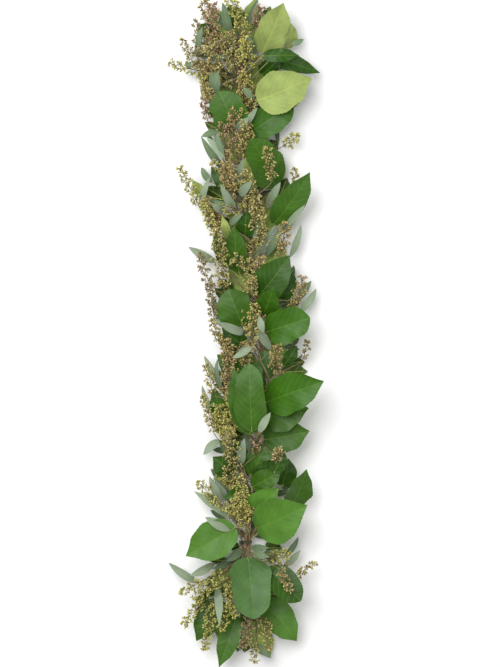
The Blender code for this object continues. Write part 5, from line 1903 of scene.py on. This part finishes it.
def speckled_finish(name, scale, detail, shades, roughness, bump):
    """A rough natural surface: its tint in finer or coarser specks that also stand in relief."""
    nodes = Nodes(name)
    speck = nodes.noise(nodes.place(), scale, detail)
    nodes.link(nodes.shaded_tint(speck, *shades), "Base Color")
    nodes.link(roughness, "Roughness")
    nodes.bump(speck, *bump)
    return nodes.material


def wire_finish():
    """Green lacquered wire, worn paler in spots."""
    nodes = Nodes("wire")
    scale, low, high = WIRE_WEAR
    worn = nodes.ramp(nodes.noise(nodes.place(), scale), low, high, 0.0, 1.0)
    coats = [(*linear(colour), 1.0) for colour in WIRE_COATS]
    nodes.link(nodes.mix(worn, *coats), "Base Color")
    nodes.link(WIRE_ROUGHNESS, "Roughness")
    nodes.link(WIRE_METAL, "Metallic")
    return nodes.material


def all_finishes():
    """Every material of the garland, by the name that the patches give it."""
    made = {name: leaf_finish(name, *values) for name, values in LEAF_FINISHES.items()}
    made.update({name: speckled_finish(name, *values) for name, values in SPECKLED_FINISHES.items()})
    made["wire"] = wire_finish()
    return made


class Inner(NamedTuple):
    """A smaller leaf or panicle inside the garland, which the layout's tables don't hold."""

    look: str


class Growth(NamedTuple):
    """What grows in the garland's gaps in one go: its kind, whether on the stems behind the core,
    how many tries, its sizes, its heights on its side of the core, and whether under panicles too."""

    kind: str
    behind: bool
    tries: int
    lengths: tuple
    widths: tuple
    heights: tuple
    under: bool = False


# The left and right edges of the garland's body at some rows of the plan.
BODY_EDGES = (
    (2, 203, 272), (25, 193, 290), (60, 184, 300), (100, 203, 288), (130, 202, 282), (165, 206, 283),
    (190, 196, 300), (235, 207, 290), (300, 214, 304), (345, 215, 303), (385, 205, 316),
    (440, 210, 296), (470, 208, 292), (500, 203, 306), (535, 212, 288), (565, 205, 298),
    (610, 192, 297), (640, 210, 266), (655, 216, 256),
)

# What grows inside, in this order, and then the second table: what is laid over the rest, where the
# picture's order of overlap isn't that of the bunches.
# Growth behind the core is drawn in the look low, darkened as painted shade.
GROWTHS = (
    Growth("lemon", False, 1500, (44, 80), (28, 48), (-14, 10)),
    Growth("lemon", True, 2500, (38, 76), (22, 44), (6, 21)),
    Growth("lemon", True, 4000, (26, 46), (16, 28), (10, 22)),
    Growth("eucalyptus", True, 1500, (28, 52), (9, 14), (8, 21)),
    Growth("eucalyptus", False, 1500, (34, 62), (8, 13), (-6, 26)),
    Growth("seeds", False, 1400, (42, 80), (15, 25), (2, 34)),
    Growth("lemon", True, 1500, (20, 34), (12, 20), (5, 22)),
    Growth("eucalyptus", True, 1500, (20, 36), (7, 10), (5, 22)),
    Growth("lemon", True, 2500, (34, 64), (20, 36), (8, 30), True),
    Growth("lemon", True, 3500, (22, 38), (14, 22), (5, 30), True),
    Growth("eucalyptus", True, 1500, (24, 44), (8, 12), (5, 30), True),
)
MORE_ITEMS = {
    "lemon": [
        Leaf((251, 190), (248, 158), 18, "pale"),
        # A leaf darkened as painted shade, laid over the stems in the shade below the first pale leaf.
        Leaf((262, 58), (299, 57), 14, "deep"),
        Leaf((252, 431), (249, 364), 32, "green"),
        Leaf((271, 388), (262, 352), 17, "blue"),
        Leaf((274, 472), (284, 450), 17, "deep"),
        Leaf((257, 101), (311, 79), 42, "pale"),
    ],
    "eucalyptus": [
        Leaf((231, 34), (222, 3), 9, "grey"),
        Leaf((198, 52), (202, 28), 8, "grey"),
        Leaf((207, 63), (185, 65), 8, "grey"),
        Leaf((213, 93), (219, 67), 12, "grey"),
        Leaf((238, 130), (258, 109), 9, "silver"),
        Leaf((252, 99), (243, 88), 7, "grey"),
        Leaf((224, 160), (207, 139), 8, "silver"),
        Leaf((224, 155), (217, 135), 6, "grey"),
        Leaf((236, 184), (247, 149), 10, "silver"),
        Leaf((240, 196), (258, 176), 9, "silver"),
        Leaf((236, 208), (217, 180), 8, "silver"),
        Leaf((224, 212), (206, 201), 8, "silver"),
        Leaf((245, 333), (216, 321), 9, "silver"),
        Leaf((263, 333), (259, 315), 7, "silver"),
        Leaf((252, 347), (233, 358), 7, "silver"),
        Leaf((228, 500), (215, 480), 8, "silver"),
        Leaf((221, 500), (211, 478), 8, "silver"),
        Leaf((230, 530), (207, 519), 8, "silver"),
        Leaf((259, 432), (270, 412), 8, "silver"),
        Leaf((252, 549), (276, 546), 8, "grey"),
        Leaf((253, 552), (277, 557), 8, "grey"),
        Leaf((241, 549), (225, 562), 9, "grey"),
    ],
    "seeds": [
        Spray((276, 463), (279, 447), 11, "gold"),
        Spray((278, 566), (291, 590), 12, "gold"),
        Spray((213, 396), (206, 363), 10, "olive"),
        Spray((214, 433), (202, 394), 10, "olive"),
    ],
}

# Where the items of the second table may hang: how many stems are tried, how long their twigs may
# be, how far they may stand above the rest, and how far they are lifted off it.
HOST_TRIES = 3
LONGEST_TWIG = 105.0
MOST_ABOVE = 11.0
MORE_LIFT = 2.0

# Where new growth may go: from where along a stem, at which slopes, and how much it may cover.
INNER_SEED = 6
HOST_SPOTS = 6
HOST_AHEAD = (6.0, 95.0)
HOST_ASIDE = 70.0
HOST_WHIM = 30
YAW_WHIM = 0.3
BASE_SHARES = (0.3, 0.6)
LEAST_AHEAD = -4.0
LEAST_RUN = 5.0
GROWTH_PITCHES = (-12, 24)
GROWTH_ROLLS = (-25, 25)
MOST_COVERED = {"lemon": 0.6, "eucalyptus": 0.6, "seeds": 0.95}
EDGE_ROOM = 3.0
FLOOR_ROOM = 1.5
CLEAR_HALF = 1.3
PANICLE_CORE = 1.6
PANICLE_SHARES = (-0.6, 0, 0.6)
PANICLE_SPOTS = 12
SHORT_RUN = 20
IN_STEM = 5.0

# No panicle grows over the last binds, below the last leaves, or this far to the right of the core.
TIE_ROWS = (528, 562)
LAST_SEED_ROW = 606
SEEDS_RIGHT = 36.0

# The looks that the inner growth is drawn from. Below this row of the plan its panicles are greener.
INNER_LOOKS = {
    "lemon": ["deep", "green", "back", "deep"],
    # Half the inner lemon leaves are darkened as painted shade.
    "eucalyptus": ["grey", "grey", "silver"],
    "upper seeds": ["olive", "lime", "gold", "olive"],
    "lower seeds": ["lime", "lime", "olive", "gold"],
}
LOWER_FROM = 330


def near_stems(stems, kind, base):
    """The front stems of this kind, the one that passes nearest to this place first."""
    fits = [stem for stem in stems if stem.kind == kind and not stem.behind]
    return sorted(fits, key=lambda stem: min(math.dist(place[:2], base) for place in stem.path[1:]))


def in_the_way(other, stem):
    """The solids of another stem that a twig from this one keeps clear of: it may pass among seeds."""
    bark = [] if other is stem else other.solids[:1]
    return bark if other.kind == "seeds" else bark + other.solids[1:]


def lay_more(stems, front, core):
    """Lays the leaves and panicles of the second table over the rest, where a near stem holds them."""
    dice = np.random.default_rng(SEED + 2)
    below = core + [turned_over(solid) for stem in stems if stem.behind for solid in stem.solids]
    highest = max(solid[0][:, 2].max() for stem in stems if not stem.behind for solid in stem.solids)
    own = Heights(EMPTY_HEIGHT)
    added = {kind: [] for kind in MORE_ITEMS}
    for kind, items in MORE_ITEMS.items():
        for item in items:
            form, shape, make = shaped(item, kind, dice, fine=False)
            base, tip = plan_point(*item.base), plan_point(*item.tip)
            for_stems = front.widened(2)
            pose = settle(shape, base, tip, front.widened(), own.top)
            pose = pose._replace(at=pose.at + np.array([0.0, 0.0, MORE_LIFT]))
            for stem in near_stems(stems, kind, base)[:HOST_TRIES]:
                bunch = BUNCHES[int(stem.name[-2:]) - 1]
                others = [solid for other in stems if not other.behind for solid in in_the_way(other, stem)]
                blocked = Blocked(below + others + sum(added.values(), []))
                joined = joined_to_stem(bunch, stem.path, pose, for_stems, blocked, make)
                if joined is None:
                    continue
                solid, raised, twig = joined
                run = math.dist(twig[0], twig[-1])
                if run > LONGEST_TWIG or solid[0][:, 2].max() > highest + MOST_ABOVE:
                    continue
                added[kind].append(solid)
                front.add_solid(solid)
                stem.laid.append(Laid(item, form, raised, twig))
                break
    return added


def plan_row(y):
    """The row of the plan at this place along the garland."""
    return PHOTO_ROWS / 2 - y / PLAN_STEP


def body_reach(y):
    """The left and right edges of the garland's body at this place along it."""
    rows, lefts, rights = zip(*BODY_EDGES)
    row = plan_row(y)
    left, right = np.interp(row, rows, lefts), np.interp(row, rows, rights)
    return plan_point(left, row)[0] + EDGE_ROOM, plan_point(right, row)[0] - EDGE_ROOM


class Ground:
    """What still shows through the garland from above, and what is in the way of new growth."""

    def __init__(self, stems, core, floor):
        self.floor = floor
        self.covered = np.zeros(PLAN_CELLS.counts, bool)
        self.hidden = np.zeros(PLAN_CELLS.counts, bool)
        self.trees = [(None, Blocked(core).tree)]
        self.ends = [plan_point(0, row)[1] for row, _, _ in (BODY_EDGES[0], BODY_EDGES[-1])]
        xs, ys = (np.arange(count) * CELL - half for count, half in zip(PLAN_CELLS.counts, PLAN_HALF))
        self.body = self.within(xs[:, None], ys)
        for stem in stems:
            solids = [turned_over(solid) for solid in stem.solids] if stem.behind else stem.solids
            self.trees.append((stem.name, Blocked(solids[:1]).tree))
            self.trees.append((None, Blocked(solids[1:]).tree))
            for solid in solids[1:]:
                self.cover(triangle_spots(*solid), stem.kind != "seeds")

    def within(self, xs, ys):
        """Which of these places lie in the garland's body."""
        low, high = body_reach(ys)
        return (xs > low) & (xs < high) & (ys < self.ends[0]) & (ys > self.ends[1])

    def cover(self, points, whole):
        """Marks what a leaf covers, or a panicle, which does not cover it wholly."""
        self.covered[PLAN_CELLS.cells(points)] = True
        if whole:
            self.hidden[PLAN_CELLS.cells(points)] = True

    def filled(self, under):
        """The cells that count as covered, for growth that may go under panicles or may not."""
        return self.hidden if under else self.covered

    def target(self, under, dice):
        """The middle of a cell of the body that nothing covers yet, drawn at random."""
        found = np.argwhere(self.body & ~self.filled(under))
        if not len(found):
            return None
        pick = found[dice.integers(len(found))]
        return (pick + 0.5) * CELL - np.array(PLAN_HALF)

    def clears(self, solid, host=None):
        """Whether a solid touches nothing that is there, but for the stem that it grows from."""
        other = BVHTree.FromPolygons(solid[0].tolist(), solid[1].tolist())
        return not any(tree and name != host and tree.overlap(other) for name, tree in self.trees)

    def holds(self, points):
        """Whether these points all lie in the body and off the floor."""
        inside = self.within(points[:, 0], points[:, 1])
        return inside.all() and points[:, 2].min() > self.floor + FLOOR_ROOM


def host_of(stems, growth, target, dice):
    """A stem of this growth near the target, and the place on it that a twig may start from."""
    found = []
    for stem in stems:
        if stem.kind != growth.kind or stem.behind != growth.behind:
            continue
        points = 1 if stem.path[-1][1] > stem.path[0][1] else -1
        dense = np.concatenate([np.linspace(a, b, HOST_SPOTS, endpoint=False)
                                for a, b in zip(stem.path[1:], stem.path[2:])])
        ahead = points * (target[1] - dense[:, 1])
        aside = np.abs(target[0] - dense[:, 0])
        fits = (ahead > HOST_AHEAD[0]) & (ahead < HOST_AHEAD[1]) & (aside < HOST_ASIDE)
        for place in dense[fits]:
            cost = math.dist(place[:2], target) + dice.uniform(0, HOST_WHIM)
            found.append((cost, place, stem, points))
    return min(found, key=lambda item: item[0])[1:] if found else None


def inner_look(growth, row, dice):
    """The look of a new leaf or panicle at this row of the plan."""
    # Growth behind the core gets the look low, both sides darkened as painted shade.
    if growth.behind:
        return "low"
    kind = growth.kind
    if kind == "seeds":
        kind = "upper seeds" if row < LOWER_FROM else "lower seeds"
    return dice.choice(INNER_LOOKS[kind])


def growth_pose(growth, length, target, start, points, dice):
    """How a new leaf or panicle would lie over its target, or nothing if its stem can't hold it so."""
    way = target - start[:2]
    yaw = math.atan2(way[1], way[0]) + dice.normal(0, YAW_WHIM)
    heading = np.array([math.cos(yaw), math.sin(yaw)])
    base = target - heading * length * dice.uniform(*BASE_SHARES)
    run = math.dist(base, start[:2])
    if points * (base[1] - start[1]) < LEAST_AHEAD or run < LEAST_RUN:
        return None
    height = dice.uniform(*growth.heights)
    height = float(np.clip(height, start[2] - EASY_CLIMB * run, start[2] + EASY_CLIMB * run))
    pitch = math.radians(dice.uniform(*GROWTH_PITCHES))
    roll = math.radians(dice.uniform(*GROWTH_ROLLS))
    return Pose(np.array([*base, height]), np.ones(3), turned(yaw, pitch, roll))


def growth_body(growth, size, pose, look, dice):
    """A new leaf's or panicle's form, the solid that is kept clear, and the spots that it covers."""
    length, width = size
    if growth.kind == "seeds":
        form = (length, width, dice.uniform(-SPRAY_BEND, SPRAY_BEND), 1)
        axis = np.array([[0.0, 0, 0], [length / 2, 0, 0], [length, 0, 0]])
        spots = [(x, side * width / 2, 0) for x in np.linspace(0, length, PANICLE_SPOTS)
                 for side in PANICLE_SHARES]
        return form, tube(pose.place(axis), PANICLE_CORE, 3), pose.place(np.array(spots))
    leaf = Leaf((0, 0), (length / PLAN_STEP, 0), width / PLAN_STEP, look)
    form = leaf_form(leaf, growth.kind == "eucalyptus", dice, False)
    points, faces = blade_solid(form, CLEAR_HALF)
    body = (pose.place(points), faces)
    return form, body, triangle_spots(*body)


def new_growth(growth, stems, ground, dice):
    """One try at a new leaf or panicle over a gap: the stem that it grows from, and its place."""
    target = ground.target(growth.under, dice)
    host = None if target is None else host_of(stems, growth, target, dice)
    if host is None:
        return None
    start, stem, points = host
    size = dice.uniform(*growth.lengths), dice.uniform(*growth.widths)
    pose = growth_pose(growth, size[0], target, start, points, dice)
    row = plan_row(target[1])
    seeds = growth.kind == "seeds"
    if pose is None or seeds and (TIE_ROWS[0] < row < TIE_ROWS[1] or row > LAST_SEED_ROW):
        return None
    item = Inner(inner_look(growth, row, dice))
    form, body, spots = growth_body(growth, size, pose, item.look, dice)
    if growth.behind:
        spots = np.column_stack([spots[:, :2], np.maximum(-spots[:, 2], ground.floor + 2 * FLOOR_ROOM)])
        body = turned_over(body)
    if seeds and (spots[:, 0] - core_x(target[1])).max() > SEEDS_RIGHT:
        return None
    if not ground.holds(spots) or not ground.clears(body):
        return None
    if ground.filled(growth.under)[PLAN_CELLS.cells(spots)].mean() > MOST_COVERED[growth.kind]:
        return None
    run = math.dist(pose.at[:2], start[:2])
    way = unit(pose.at - start)
    stalk = curve_between(start, way, pose.at, pose.heading, 2 if run > SHORT_RUN else 1)
    trimmed = stalk.copy()
    trimmed[0] += way * min(IN_STEM, 0.5 * run)
    twig = tube(trimmed, TWIG_RADIUS, 3)
    if not ground.clears(turned_over(twig) if growth.behind else twig, stem.name):
        return None
    return stem, Laid(item, form, pose, stalk), body, spots


def grow_inside(stems, core, floor, added):
    """Closes the gaps that show from above with smaller leaves and panicles on the same stems."""
    dice = np.random.default_rng(INNER_SEED)
    ground = Ground(stems, core, floor)
    for kind, solids in added.items():
        for solid in solids:
            ground.trees.append((None, Blocked([solid]).tree))
            ground.cover(triangle_spots(*solid), kind != "seeds")
    blades = added["eucalyptus"] + added["lemon"]
    for growth in GROWTHS:
        for _ in range(growth.tries):
            found = new_growth(growth, stems, ground, dice)
            if found is None:
                continue
            stem, laid, body, spots = found
            stem.laid.append(laid)
            ground.cover(spots, growth.kind != "seeds")
            ground.trees.append((None, Blocked([body]).tree))
            if growth.kind != "seeds":
                blades.append(body)
    return blades


def lay_out():
    """Every stem of the garland with what it carries, the shift that centres them, and the solids of
    the leaves that were added to the layout's own."""
    front, back = Heights(), Heights()
    reach = STEM_SEAT + STEM_RADIUS + WIRE_GAP + WIRE_RADIUS + WIRE_ROOM
    for heights in (front, back):
        for x, y in smooth_route([plan_point(*point) for point in TWINE_ROUTE], CELL):
            heights.add(np.array([(x + dx, y, reach) for dx in np.arange(-reach, reach + 1, 1.0)]))
    core = [twine_solid(), wire_solid()]
    stems = front_nodes(front, core) + back_nodes(back, core)
    every = np.concatenate([points for points, _ in core + [
        turned_over(solid) if stem.behind else solid for stem in stems for solid in stem.solids]])
    low, high = every.min(axis=0), every.max(axis=0)
    shift = -np.array([(low[0] + high[0]) / 2, (low[1] + high[1]) / 2, low[2]])
    added = lay_more(stems, front, core)
    return stems, shift, grow_inside(stems, core, low[2], added)


def dress(shift, stems, inner):
    """Makes every visible piece of the garland and says which node it stands for."""
    materials = all_finishes()
    leaves = [turned_over(solid) if stem.behind else solid for stem in stems
              if stem.kind != "seeds" or stem.behind for solid in stem.solids[1:]]
    blades = Blocked(leaves + inner).tree
    trees = []
    pieces = [(stem.name, stem.kind, stem.behind, dressed_stem(stem, number, blades, trees))
              for number, stem in enumerate(stems)]
    pieces.append(("core_twine", "twine", False, twisted_twine()))
    pieces.append(("binding_wire", "wire", False, wound_wire()))
    for node, kind, behind, patches in pieces:
        patches = [placed(patch, behind, shift) for patch in patches]
        piece = mesh_piece(f"{node}_piece", patches, materials)
        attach(piece, "root")
        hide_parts(node)


# The studio, in metres: the floor's half width and how far it lies below the part, the lights'
# places, sizes and powers, and the camera, which is sharp and true in scale at one height.
FLOOR_HALF = 4.0
FLOOR_DROP = 0.0005
ROOM_LIGHT = 0.48
KEY_LIGHT = ("key_light", (-0.9, 0.8, 2.6), 2.0, 82.0)
FILL_LIGHT = ("fill_light", (1.6, -0.8, 2.4), 2.0, 14.0)
LIGHT_AIM = (0, 0, 0.05)
CAMERA_HEIGHT = 6.0
SHARP_PLANE = 0.045
SENSOR = 24.0
FAR_CLIP = 50.0


def floor():
    """A plain pale sheet under the garland."""
    nodes = Nodes("floor")
    nodes.link(FLOOR_LOOK, "Base Color")
    nodes.link(0.9, "Roughness")
    mesh = bpy.data.meshes.new("floor")
    corners = [(x * FLOOR_HALF, y * FLOOR_HALF, 0) for x, y in ((-1, -1), (1, -1), (1, 1), (-1, 1))]
    mesh.from_pydata(corners, [], [(0, 1, 2, 3)])
    mesh.materials.append(nodes.material)
    made = linked("floor", mesh)
    made.location.z = -FLOOR_DROP


def area_light(name, place, size, power):
    """A square soft box that is turned to the garland."""
    data = bpy.data.lights.new(name, "AREA")
    data.shape = "SQUARE"
    data.size = size
    data.energy = power
    made = linked(name, data)
    made.location = place
    aim = Vector(LIGHT_AIM) - Vector(place)
    made.rotation_euler = aim.to_track_quat("-Z", "Y").to_euler()


def lights():
    """Soft studio light: a bright even room, a large soft box above and to the left, and a weaker
    one to the right."""
    world = bpy.data.worlds.new("studio")
    world.use_nodes = True
    background = world.node_tree.nodes["Background"]
    background.inputs["Color"].default_value = (1.0, 1.0, 1.0, 1.0)
    background.inputs["Strength"].default_value = ROOM_LIGHT
    bpy.context.scene.world = world
    area_light(*KEY_LIGHT)
    area_light(*FILL_LIGHT)


def camera(shift):
    """Straight above the garland, with the plan's grid falling on the picture's own."""
    data = bpy.data.cameras.new("camera")
    data.sensor_fit = "VERTICAL"
    data.sensor_height = SENSOR
    tall = PHOTO_ROWS * PLAN_STEP / 1000
    data.lens = SENSOR * (CAMERA_HEIGHT - SHARP_PLANE) / tall
    data.clip_end = FAR_CLIP
    made = linked("camera", data)
    made.location = (shift[0] / 1000, shift[1] / 1000, CAMERA_HEIGHT)
    bpy.context.scene.camera = made


def main():
    """The whole scene."""
    bpy.context.scene.view_settings.view_transform = "Standard"
    stems, shift, inner = lay_out()
    dress(shift, stems, inner)
    floor()
    lights()
    camera(shift)


main()
